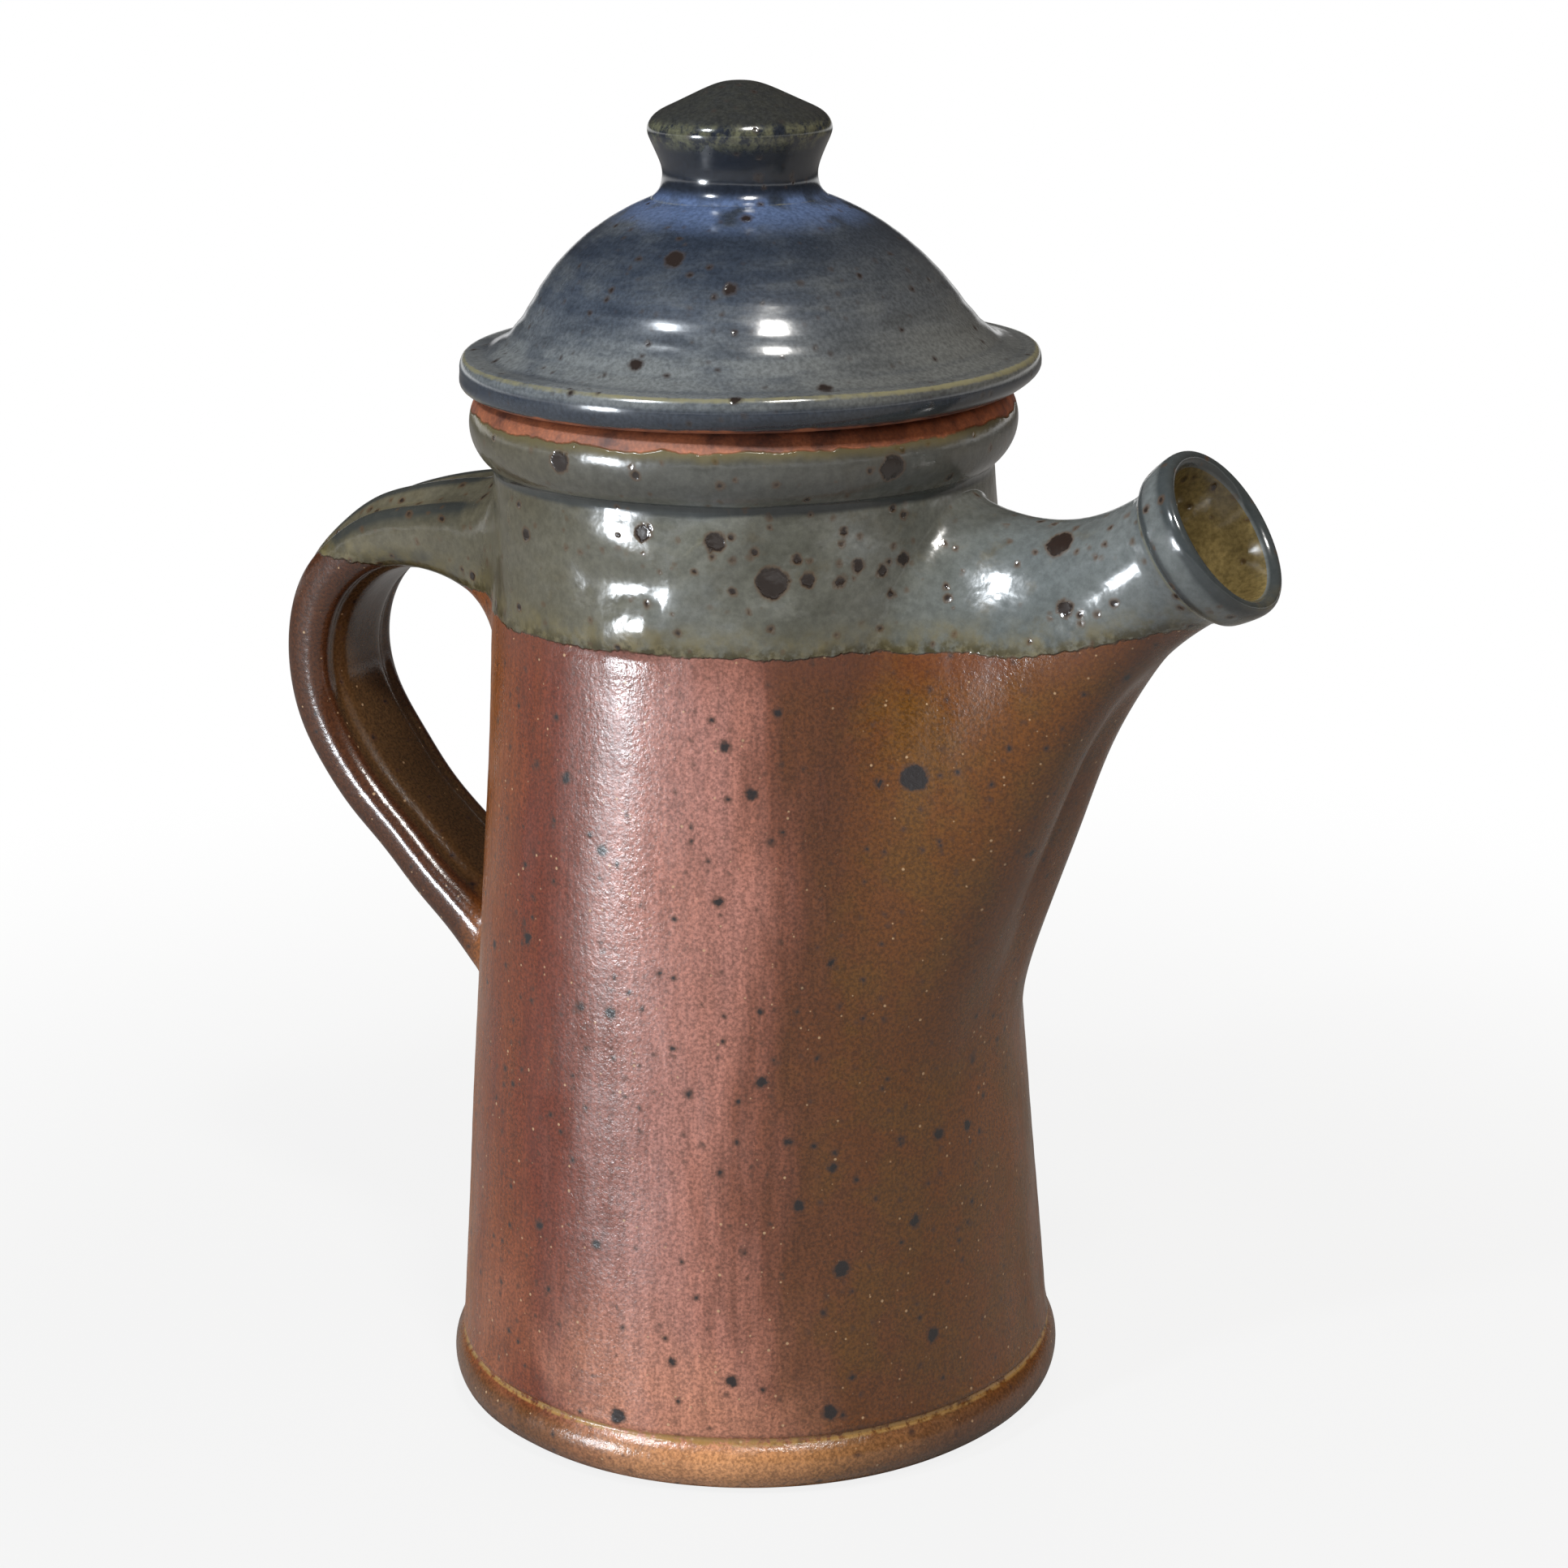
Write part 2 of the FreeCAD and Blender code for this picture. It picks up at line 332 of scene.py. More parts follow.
def outline(runs: list[Run], softness: float) -> tuple[Array, Array]:
    """Rows of a turned piece, with corners as soft as clay.

    Args:
        runs: Stretches from one end on the axis to the other.
        softness: Reach of the rounding of corners.

    Returns:
        Radius and height of each row, and the zone of each row.
    """
    points, spacings, zones = [], [], []
    for run in runs:
        length = np.linalg.norm(np.diff(run.points, axis=0), axis=1).sum()
        steps = max(2, int(length / OUTLINE_FINENESS))
        points.append(evenly(run.points, steps))
        spacings.append(np.full(steps, run.spacing))
        zones.append(np.full(steps, run.zone.value))
    line, spacing, zone = np.concatenate(points), np.concatenate(spacings), np.concatenate(zones)
    half = int(3 * softness / OUTLINE_FINENESS)
    kernel = np.exp(-0.5 * (np.arange(-half, half + 1) * OUTLINE_FINENESS / softness) ** 2)
    kernel /= kernel.sum()
    soft = np.stack([np.convolve(np.pad(c, half, mode="edge"), kernel, mode="valid") for c in line.T], axis=-1)
    soft[0], soft[-1] = line[0], line[-1]
    steps = np.linalg.norm(np.diff(soft, axis=0), axis=1) / spacing[1:]
    run_length = np.concatenate([[0.0], np.cumsum(steps)])
    places = np.linspace(0.0, run_length[-1], int(run_length[-1]) + 1)
    rows = np.stack([np.interp(places, run_length, c) for c in soft.T], axis=-1)
    nearest = np.clip(np.searchsorted(run_length, places), 0, len(zone) - 1)
    return rows, zone[nearest]


def path(*points: tuple[float, float]) -> Array:
    """Straight stretch of an outline through points."""
    return np.array(points, float)


def outline_normals(rows: Array) -> Array:
    """Unit normals of a turned outline, out of the clay.

    Args:
        rows: Radius and height of each row.

    Returns:
        The normal at each row.
    """
    way = np.gradient(rows, axis=0)
    normal = np.stack([way[:, 1], -way[:, 0]], axis=-1)
    return normal / np.linalg.norm(normal, axis=1)[:, None]


@dataclass
class Skin:
    """Rings of points over a piece, which become its mesh.

    Attributes:
        rings: Points, by ring and by place round the ring.
        zones: Zone of each ring.
        looped: True where the last ring joins the first.
        ends: Points that close the first and last rings, where not looped.
    """

    rings: Array
    zones: Array
    looped: bool = False
    ends: tuple[Array, Array] | None = None

    def faces(self) -> tuple[list[list[int]], Array]:
        """Faces of the mesh and their zones.

        Returns:
            Corner lists of all faces, and the zone of each.
        """
        count, across = self.rings.shape[:2]
        index = np.arange(count * across).reshape(count, across)
        upper = np.roll(index, -1, axis=0) if self.looped else index[1:]
        lower = index if self.looped else index[:-1]
        quads = np.stack([lower, np.roll(lower, -1, 1), np.roll(upper, -1, 1), upper], axis=-1)
        zones = np.repeat(self.zones[:len(lower)], across)
        faces = quads.reshape(-1, 4).tolist()
        if self.ends is not None:
            first, last = count * across, count * across + 1
            faces += [[first, int(b), int(a)] for a, b in zip(index[0], np.roll(index[0], -1))]
            faces += [[last, int(a), int(b)] for a, b in zip(index[-1], np.roll(index[-1], -1))]
            zones = np.concatenate([zones, np.full(across, self.zones[0]), np.full(across, self.zones[-1])])
        return faces, zones

    def crest(self, reach: int) -> Array:
        """Convexity of the skin, in turns of the normal per millimetre.

        Args:
            reach: Rings and places on each side that the bend is measured over.

        Returns:
            Positive values on ridges and edges, negative ones in grooves and corners.
        """
        count = len(self.rings)
        rows = np.arange(count)
        ahead, behind = rows + reach, rows - reach
        if self.looped:
            ahead, behind = ahead % count, behind % count
        else:
            ahead, behind = np.minimum(ahead, count - 1), np.maximum(behind, 0)
        pairs = [
            (self.rings[ahead], self.rings[behind]),
            (np.roll(self.rings, -reach, 1), np.roll(self.rings, reach, 1)),
        ]
        normal = np.cross(pairs[1][0] - pairs[1][1], pairs[0][0] - pairs[0][1])
        normal /= np.linalg.norm(normal, axis=-1)[..., None] + 1e-9
        bend = np.zeros(self.rings.shape[:2])
        for one, other in pairs:
            spans = np.linalg.norm(one - self.rings, axis=-1) * np.linalg.norm(other - self.rings, axis=-1)
            bend += ((2 * self.rings - one - other) * normal).sum(-1) / (spans + 0.05)
        return bend

    def piece(self, name: str, reach: int, spots: list[Array], calm: Array | float = 1.0) -> Piece:
        """Writes the skin as a mesh object.

        Args:
            name: Name of the piece.
            reach: Reach of the crest measure.
            spots: Middle and radius of each iron spot, four numbers each.
            calm: Share of the crest that counts, at each point.

        Returns:
            The new object, linked to the scene.
        """
        points = self.rings.reshape(-1, 3)
        crest = (self.crest(reach) * calm).ravel()
        if self.ends is not None:
            points = np.concatenate([points, np.array(self.ends)])
            crest = np.concatenate([crest, np.zeros(2)])
        faces, zones = self.faces()
        mesh = bpy.data.meshes.new(name)
        mesh.from_pydata((points * MM).tolist(), [], faces)
        mesh.polygons.foreach_set("material_index", zones.astype(np.int32))
        mesh.shade_smooth()
        gap = np.full(len(points), 9.0)
        for spot in spots:
            gap = np.minimum(gap, np.linalg.norm(points - spot[:3], axis=1) - spot[3])
        for label, values in (("crest", crest), ("spot_gap", gap)):
            mesh.attributes.new(label, "FLOAT", "POINT").data.foreach_set("value", values.astype(np.float32))
        mesh.update()
        piece = bpy.data.objects.new(name, mesh)
        bpy.context.scene.collection.objects.link(piece)
        return piece


@dataclass(frozen=True)
class Wall:
    """Outer wall of the thrown pot, on to which the spout and the handle are stuck.

    Attributes:
        foot_radius: Radius just above the foot bead.
        hollow: How far the wall bows in at mid height.
        crease_height: Height of the crease over the foot bead.
        neck_radius: Radius under the collar.
        neck_height: Height of the underside of the collar.
        ring_pitch: Distance between throwing rings.
        ring_rise: Height of throwing rings.
        unroll_radius: Radius at which marks are laid out.
        foot_fade: Height over the crease at which marks reach their full height.
        neck_fade: How far under and over the neck's height marks fade out.
        strokes: Marks of wiping.
        large_spots: Iron spots placed one by one, on the wall and the collar.
        scatters: Patches of small iron spots, on the glaze and below it.
    """

    foot_radius: float = 55.3
    hollow: float = 0.6
    crease_height: float = 9.6
    neck_radius: float = 44.1
    neck_height: float = 174.5
    ring_pitch: float = 6.2
    ring_rise: float = 0.012
    unroll_radius: float = 46.0
    foot_fade: float = 6.0
    neck_fade: Span = (2.0, 4.0)
    slow: Wander = Wander(size=48.0, height=0.22, seed=11)
    quick: Wander = Wander(size=11.0, height=0.028, seed=12)
    strokes: tuple[Stroke, ...] = (
        Stroke(start=(36.0, 175.0), end=(9.0, 150.5), width=2.2, rise=0.62, lean=3.0),
        Stroke(start=(23.5, 170.0), end=(14.5, 164.0), width=1.0, rise=0.3, lean=1.6),
        Stroke(start=(41.0, 171.0), end=(26.0, 152.0), width=5.0, rise=-0.3),
        Stroke(start=(-9.0, 170.0), end=(15.0, 166.5), width=4.0, rise=0.5),
        Stroke(start=(-9.0, 161.5), end=(15.0, 159.5), width=4.0, rise=-0.45),
        Stroke(start=(-3.0, 151.5), end=(12.0, 154.5), width=4.5, rise=0.5),
        Stroke(start=(-14.0, 148.6), end=(17.0, 148.2), width=0.75, rise=-0.42),
        Stroke(start=(63.0, 141.0), end=(50.0, 135.5), width=0.5, rise=-0.16),
        Stroke(start=(58.0, 142.0), end=(47.0, 136.5), width=0.5, rise=-0.14),
        Stroke(start=(18.0, 74.0), end=(24.0, 40.0), width=0.5, rise=-0.12),
        Stroke(start=(20.0, 82.0), end=(22.0, 46.0), width=0.45, rise=-0.1),
    )
    large_spots: tuple[IronSpot, ...] = (
        IronSpot(37.0, 162.0, 2.7), IronSpot(25.0, 169.0, 1.7), IronSpot(9.0, 170.0, 1.4),
        IronSpot(-8.0, 181.5, 1.9, 48.0), IronSpot(62.0, 180.5, 2.2, 48.0), IronSpot(64.0, 47.0, 1.1),
        IronSpot(48.0, 41.0, 1.4), IronSpot(67.0, 25.0, 1.2), IronSpot(45.0, 15.0, 1.3), IronSpot(5.0, 13.0, 1.4),
    )
    scatters: tuple[Scatter, ...] = (
        Scatter(count=9, azimuths=(38.0, 68.0), heights=(157.0, 174.0), radii=(0.6, 1.2), seed=82),
        Scatter(count=26, azimuths=(-25.0, 85.0), heights=(18.0, 138.0), radii=(0.6, 1.0), seed=101),
    )

    def radius(self, height: Array) -> Array:
        """Radius of the true wall at a height."""
        t = (height - self.crease_height) / (self.neck_height - self.crease_height)
        return self.foot_radius + (self.neck_radius - self.foot_radius) * t - self.hollow * 4 * t * (1 - t)

    def marks(self, azimuth: Array, height: Array) -> Array:
        """Relief that throwing and wiping left on the wall.

        Args:
            azimuth: Azimuth of each point.
            height: Height of each point.

        Returns:
            Height of the relief at each point.
        """
        azimuth, height = np.broadcast_arrays(azimuth, height)
        places = around(azimuth, self.unroll_radius, height)
        turns = height / self.ring_pitch + azimuth / 360.0
        rings = self.ring_rise * np.sin(math.tau * turns + 2.0 * self.slow.at(places) / self.slow.height)
        relief = self.slow.at(places) + self.quick.at(places) + rings
        for stroke in self.strokes:
            relief = relief + stroke.relief(azimuth, height, self.unroll_radius)
        foot, collar = self.ends(height)
        return relief * (1.0 - foot) * (1.0 - collar)

    def ends(self, height: Array) -> tuple[Array, Array]:
        """Shares of the foot and of the collar, both 0 on the wall between them.

        Args:
            height: Height of each point.

        Returns:
            Share of the foot and share of the collar, at each point.
        """
        foot = 1.0 - smooth_rise(height, self.crease_height, self.crease_height + self.foot_fade)
        under, over = self.neck_fade
        return foot, smooth_rise(height, self.neck_height - under, self.neck_height + over)

    def skin(self, azimuth: Array, height: Array) -> Array:
        """Radius of the marked wall."""
        return self.radius(height) + self.marks(azimuth, height)

    def clear(self, points: Array) -> Array:
        """Distance of points outward from the marked wall."""
        return reach_of(points) - self.skin(azimuth_of(points), points[..., 2])

    def spot(self, spot: IronSpot) -> Array:
        """Middle and radius of an iron spot, as four numbers."""
        return spot.at(self.radius(spot.height) if spot.reach is None else spot.reach)

    def spots(self) -> list[Array]:
        """Middle and radius of each iron spot of the wall, as four numbers."""
        scattered = [spot for scatter in self.scatters for spot in scatter.spots()]
        return [self.spot(spot) for spot in (*self.large_spots, *scattered)]


class Recipe:
    """Node tree of one finish, with short calls for the steps that it is mixed from.

    Attributes:
        material: The material.
        place: Coordinates on the piece, in millimetres.
    """

    def __init__(self, name: str) -> None:
        """Starts an empty material.

        Args:
            name: Its name.
        """
        self.material = bpy.data.materials.new(name)
        self.material.use_nodes = True
        self.material.node_tree.nodes.clear()
        self.place = self.scaled(self.node("ShaderNodeTexCoord").outputs["Object"], 1.0 / MM)

    def node(self, kind: str, inputs: dict[int | str, object] | None = None, **settings: object) -> bpy.types.Node:
        """Adds a node.

        Args:
            kind: Its type.
            inputs: A link or a value for each input, a colour being given without alpha.
            settings: Its settings.

        Returns:
            The node.
        """
        tree = self.material.node_tree
        node = tree.nodes.new(kind)
        for key, value in settings.items():
            setattr(node, key, value)
        for key, value in (inputs or {}).items():
            socket = node.inputs[key]
            if isinstance(value, Socket):
                tree.links.new(value, socket)
            else:
                socket.default_value = (*value, 1.0) if socket.type == "RGBA" else value
        return node

    def vector(self, operation: str, *terms: object) -> Socket:
        """Result of an operation on vectors."""
        node = self.node("ShaderNodeVectorMath", dict(enumerate(terms)), operation=operation)
        return node.outputs["Value" if operation == "LENGTH" else "Vector"]

    def scaled(self, vector: Socket, factor: float) -> Socket:
        """A vector times a number."""
        return self.node("ShaderNodeVectorMath", {0: vector, "Scale": factor}, operation="SCALE").outputs["Vector"]

    def split(self, vector: Socket) -> list[Socket]:
        """X, Y and Z of a vector."""
        return list(self.node("ShaderNodeSeparateXYZ", {0: vector}).outputs)

    def sum(self, operation: str, *terms: object) -> Socket:
        """Result of an operation on numbers."""
        return self.node("ShaderNodeMath", dict(enumerate(terms)), operation=operation).outputs[0]

    def add(self, *values: object) -> Socket:
        """Total of several numbers."""
        return reduce(lambda total, value: self.sum("ADD", total, value), values)

    def times(self, *values: object) -> Socket:
        """Product of several numbers."""
        return reduce(lambda product, value: self.sum("MULTIPLY", product, value), values)

    def rise(self, value: object, start: float, end: float, low: float = 0.0, high: float = 1.0) -> Socket:
        """Smooth change from low at start to high at end."""
        inputs = dict(enumerate((value, start, end, low, high)))
        return self.node("ShaderNodeMapRange", inputs, interpolation_type="SMOOTHSTEP").outputs[0]

    def cloud(self, size: float, detail: float = 2.0, rough: float = 0.5,
              stretch: Colour = (1.0, 1.0, 1.0)) -> Socket:
        """Cloudy noise about 0.5.

        Args:
            size: Width of its features.
            detail: Octaves of finer noise.
            rough: Strength of the finer noise.
            stretch: How much longer features are along X, Y and Z.

        Returns:
            The noise.
        """
        place = self.vector("MULTIPLY", self.place, tuple(1.0 / (size * s) for s in stretch))
        inputs = {"Vector": place, "Scale": 1.0, "Detail": detail, "Roughness": rough}
        return self.node("ShaderNodeTexNoise", inputs).outputs[0]

    def sway(self, spread: float, *noise: object, about: float = 0.0) -> Socket:
        """Cloudy noise with a full spread about a value, its settings being those of the cloud."""
        return self.sum("MULTIPLY_ADD", self.cloud(*noise), spread, about - spread / 2)

    def shaken(self, size: float, reach: float) -> Socket:
        """The piece's coordinates, pushed about by noise.

        Args:
            size: Width of the noise's features.
            reach: How far it pushes.

        Returns:
            The coordinates in millimetres.
        """
        noise = self.node("ShaderNodeTexNoise", {"Vector": self.scaled(self.place, 1.0 / size), "Scale": 1.0})
        push = self.vector("SUBTRACT", noise.outputs["Color"], (0.5, 0.5, 0.5))
        return self.vector("ADD", self.place, self.scaled(push, reach))

    def specks(self, size: float, scarce: float, growth: float, place: Socket) -> Socket:
        """Distance from the edge of the nearest speck, negative inside it.

        Args:
            size: Distance between the places that may hold a speck.
            scarce: Share of those places that stay empty.
            growth: Radius gained from the emptiest place to the fullest.
            place: Coordinates in millimetres.

        Returns:
            The distance in millimetres.
        """
        cells = self.node("ShaderNodeTexVoronoi", {"Vector": self.scaled(place, 1.0 / size), "Scale": 1.0})
        luck = self.split(cells.outputs["Color"])[0]
        radius = self.sum("MULTIPLY_ADD", luck, growth, -scarce * growth)
        return self.sum("MULTIPLY_ADD", cells.outputs["Distance"], size, self.times(radius, -1.0))

    def blend(self, share: object, first: object, second: object, way: str = "MIX") -> Socket:
        """Mix of two colours."""
        inputs = {0: share, 6: first, 7: second}
        return self.node("ShaderNodeMix", inputs, data_type="RGBA", blend_type=way).outputs[2]

    def shaded(self, colour: object, grain: Socket) -> Socket:
        """A colour multiplied by a number."""
        return self.blend(1.0, colour, self.grey(grain), "MULTIPLY")

    def between(self, share: object, first: object, second: object) -> Socket:
        """Mix of two numbers."""
        return self.node("ShaderNodeMix", {0: share, 2: first, 3: second}, data_type="FLOAT").outputs[0]

    def ramp(self, value: Socket, stops: list[tuple[float, Colour]]) -> Socket:
        """Colour along a ramp.

        Args:
            value: Place along the ramp.
            stops: Places and their colours.

        Returns:
            The colour.
        """
        node = self.node("ShaderNodeValToRGB", {0: value})
        elements = node.color_ramp.elements
        while len(elements) < len(stops):
            elements.new(1.0)
        for element, (place, colour) in zip(elements, stops):
            element.position, element.color = place, (*colour, 1.0)
        return node.outputs["Color"]

    def measure(self, label: str) -> Socket:
        """A measure that the mesh carries."""
        return self.node("ShaderNodeAttribute", attribute_name=label).outputs["Fac"]

    def grey(self, value: Socket) -> Socket:
        """A number as a grey colour."""
        return self.node("ShaderNodeCombineColor", {0: value, 1: value, 2: value}).outputs[0]

    def fire(self, colour: Socket, roughness: Socket, relief: Socket) -> Material:
        """Ends the recipe in a shader.

        Args:
            colour: Base colour.
            roughness: Roughness.
            relief: Height of the fine relief in millimetres.

        Returns:
            The finished material.
        """
        bump = self.node("ShaderNodeBump", {"Strength": 1.0, "Distance": MM, "Height": relief})
        shader = self.node("ShaderNodeBsdfPrincipled", {
            "Base Color": colour, "Roughness": roughness, "IOR": GLASS_IOR, "Normal": bump.outputs[0],
        })
        self.node("ShaderNodeOutputMaterial", {"Surface": shader.outputs[0]})
        return self.material


@dataclass(frozen=True)
class Specks:
    """Iron specks in a finish.

    Attributes:
        core: Colour of a speck.
        halo: Colour that bleeds round it.
        fine_growth: Radius of the largest fine speck.
        coarse_growth: Radius of the largest coarse speck.
        scarce: Share of places with no coarse speck.
        fine_pitch: Distance between places of fine specks.
        fine_scarce: Share of those places with no speck.
        coarse_pitch: Distance between places of coarse specks.
        shake: Size and reach of the noise that makes specks ragged.
        wave: Size and spread of the noise on the edge of large spots.
        halo_span: Distances from a speck's edge over which its halo comes in.
        core_span: Distances from a speck's edge over which its core comes in.
    """

    core: Colour = (0.018, 0.012, 0.010)
    halo: Colour = (0.085, 0.045, 0.022)
    fine_growth: float = 1.25
    coarse_growth: float = 3.2
    scarce: float = 0.62
    fine_pitch: float = 2.7
    fine_scarce: float = 0.58
    coarse_pitch: float = 9.5
    shake: Span = (1.6, 1.0)
    wave: float = 1.3
    halo_span: Span = (0.7, 0.0)
    core_span: Span = (0.18, -0.22)

    def edge(self, mix: Recipe) -> Socket:
        """Distance from the edge of the nearest speck or spot.

        Args:
            mix: Recipe to add to.

        Returns:
            The distance in millimetres.
        """
        place = mix.shaken(*self.shake)
        fine = mix.specks(self.fine_pitch, self.fine_scarce, self.fine_growth, place)
        coarse = mix.specks(self.coarse_pitch, self.scarce, self.coarse_growth, place)
        wavy = mix.sway(self.wave, self.wave)
        placed = mix.add(mix.measure("spot_gap"), wavy)
        return mix.sum("MINIMUM", mix.sum("MINIMUM", fine, coarse), placed)

    def on(self, mix: Recipe, colour: Socket, edge: Socket) -> Socket:
        """A colour with the specks laid over it, by the distance from the nearest speck's edge."""
        ringed = mix.blend(mix.rise(edge, *self.halo_span, high=0.65), colour, self.halo)
        return mix.blend(mix.rise(edge, *self.core_span, high=0.95), ringed, self.core)


@dataclass(frozen=True)
class BareClay:
    """Unglazed clay, toasted orange where the flame met it.

    Attributes:
        deep: Its darker clouds.
        bright: Its toasted clouds.
        roughness: Roughness of the clay.
    """

    deep: Colour = (0.095, 0.024, 0.010)
    bright: Colour = (0.320, 0.094, 0.034)
    roughness: float = 0.62

    def colour(self, mix: Recipe) -> Socket:
        """Colour of the clay.

        Args:
            mix: Recipe to add to.

        Returns:
            The colour.
        """
        toast = mix.ramp(mix.cloud(6.0, 4.0, 0.65), [(0.36, self.deep), (0.62, self.bright)])
        sand = mix.rise(mix.cloud(0.5, 1.0), 0.3, 0.75, 0.82, 1.15)
        return mix.shaded(toast, sand)

    def relief(self, mix: Recipe) -> Socket:
        """Height of the sandy grain."""
        return mix.times(mix.cloud(0.7, 2.0), 0.07)


@dataclass(frozen=True)
class AshGlaze:
    """Glossy grey-green ash glaze on the pot's shoulder.

    Attributes:
        shade: Darker clouds of the glaze.
        body: Its usual colour.
        light: Its pale blue clouds.
        blue: Blue-grey on the spout.
        lip: Paler glaze near the spout's lip.
        roll: Darker glaze on the rolled collar.
        brown: Thin brownish glaze towards the handle.
        thin: Where it breaks over edges.
        pooled: Where it gathers in hollows.
        hem: Mottled border along the dip line.
        rim: Dark broken line at the very edge of that border.
        roughness: Roughness of the gloss.

    The spans are where a tint comes in: X for spout, lip, roll_end and handle, heights for roll, convexity for break
    and pool, and heights above the dip line for hem and rim.
    """

    shade: Colour = (0.076, 0.075, 0.058)
    body: Colour = (0.122, 0.121, 0.100)
    light: Colour = (0.150, 0.156, 0.146)
    blue: Colour = (0.090, 0.104, 0.107)
    lip: Colour = (0.140, 0.151, 0.149)
    brown: Colour = (0.092, 0.078, 0.048)
    roll: Colour = (0.070, 0.069, 0.062)
    thin: Colour = (0.205, 0.175, 0.080)
    pooled: Colour = (0.022, 0.027, 0.029)
    hem: Colour = (0.150, 0.120, 0.052)
    rim: Colour = (0.045, 0.036, 0.014)
    roughness: float = 0.17
    spout_span: Span = (30.0, 60.0)
    lip_span: Span = (64.0, 80.0)
    roll_span: Span = (174.0, 178.0)
    roll_end: Span = (56.0, 52.0)
    handle_span: Span = (18.0, -28.0)
    break_span: Span = (0.16, 0.50)
    pool_span: Span = (-0.05, -0.26)
    hem_span: Span = (7.5, 0.3)
    rim_span: Span = (3.2, 0.3)

    def colour(self, mix: Recipe, above: Socket) -> Socket:
        """Colour of the glaze.

        Args:
            mix: Recipe to add to.
            above: Height above the dip line.

        Returns:
            The colour, without specks.
        """
        across, _, z = mix.split(mix.place)
        cloud = mix.cloud(20.0, 4.0, 0.6, (1.0, 1.0, 0.6))
        base = mix.ramp(cloud, [(0.32, self.shade), (0.5, self.body), (0.68, self.light)])
        base = mix.blend(mix.rise(across, *self.spout_span, high=0.7), base, self.blue)
        base = mix.blend(mix.rise(mix.cloud(8.0, 4.0, 0.65), 0.54, 0.70, high=0.6), base, self.brown)
        base = mix.blend(mix.rise(across, *self.lip_span, high=0.7), base, self.lip)
        rolled = mix.times(mix.rise(z, *self.roll_span, high=0.75), mix.rise(across, *self.roll_end))
        base = mix.blend(rolled, base, self.roll)
        base = mix.blend(mix.rise(across, *self.handle_span, high=0.85), base, self.brown)
        grain = mix.rise(mix.cloud(1.6, 4.0, 0.7), 0.25, 0.75, 0.80, 1.20)
        base = mix.shaded(base, grain)
        crest = mix.measure("crest")
        base = mix.blend(mix.rise(crest, *self.break_span, high=0.7), base, self.thin)
        base = mix.blend(mix.rise(crest, *self.pool_span, high=0.8), base, self.pooled)
        mottled = mix.rise(mix.cloud(4.0, 3.0, 0.6), 0.3, 0.68, high=0.85)
        base = mix.blend(mix.times(mix.rise(above, *self.hem_span), mottled), base, self.hem)
        broken = mix.rise(mix.cloud(1.7, 3.0, 0.6), 0.36, 0.6, high=0.9)
        return mix.blend(mix.times(mix.rise(above, *self.rim_span), broken), base, self.rim)

    def relief(self, mix: Recipe) -> Socket:
        """Slow ripple of the melted glaze."""
        return mix.add(mix.times(mix.cloud(7.0, 3.0), 0.26), mix.times(mix.cloud(1.0, 2.0), 0.014))


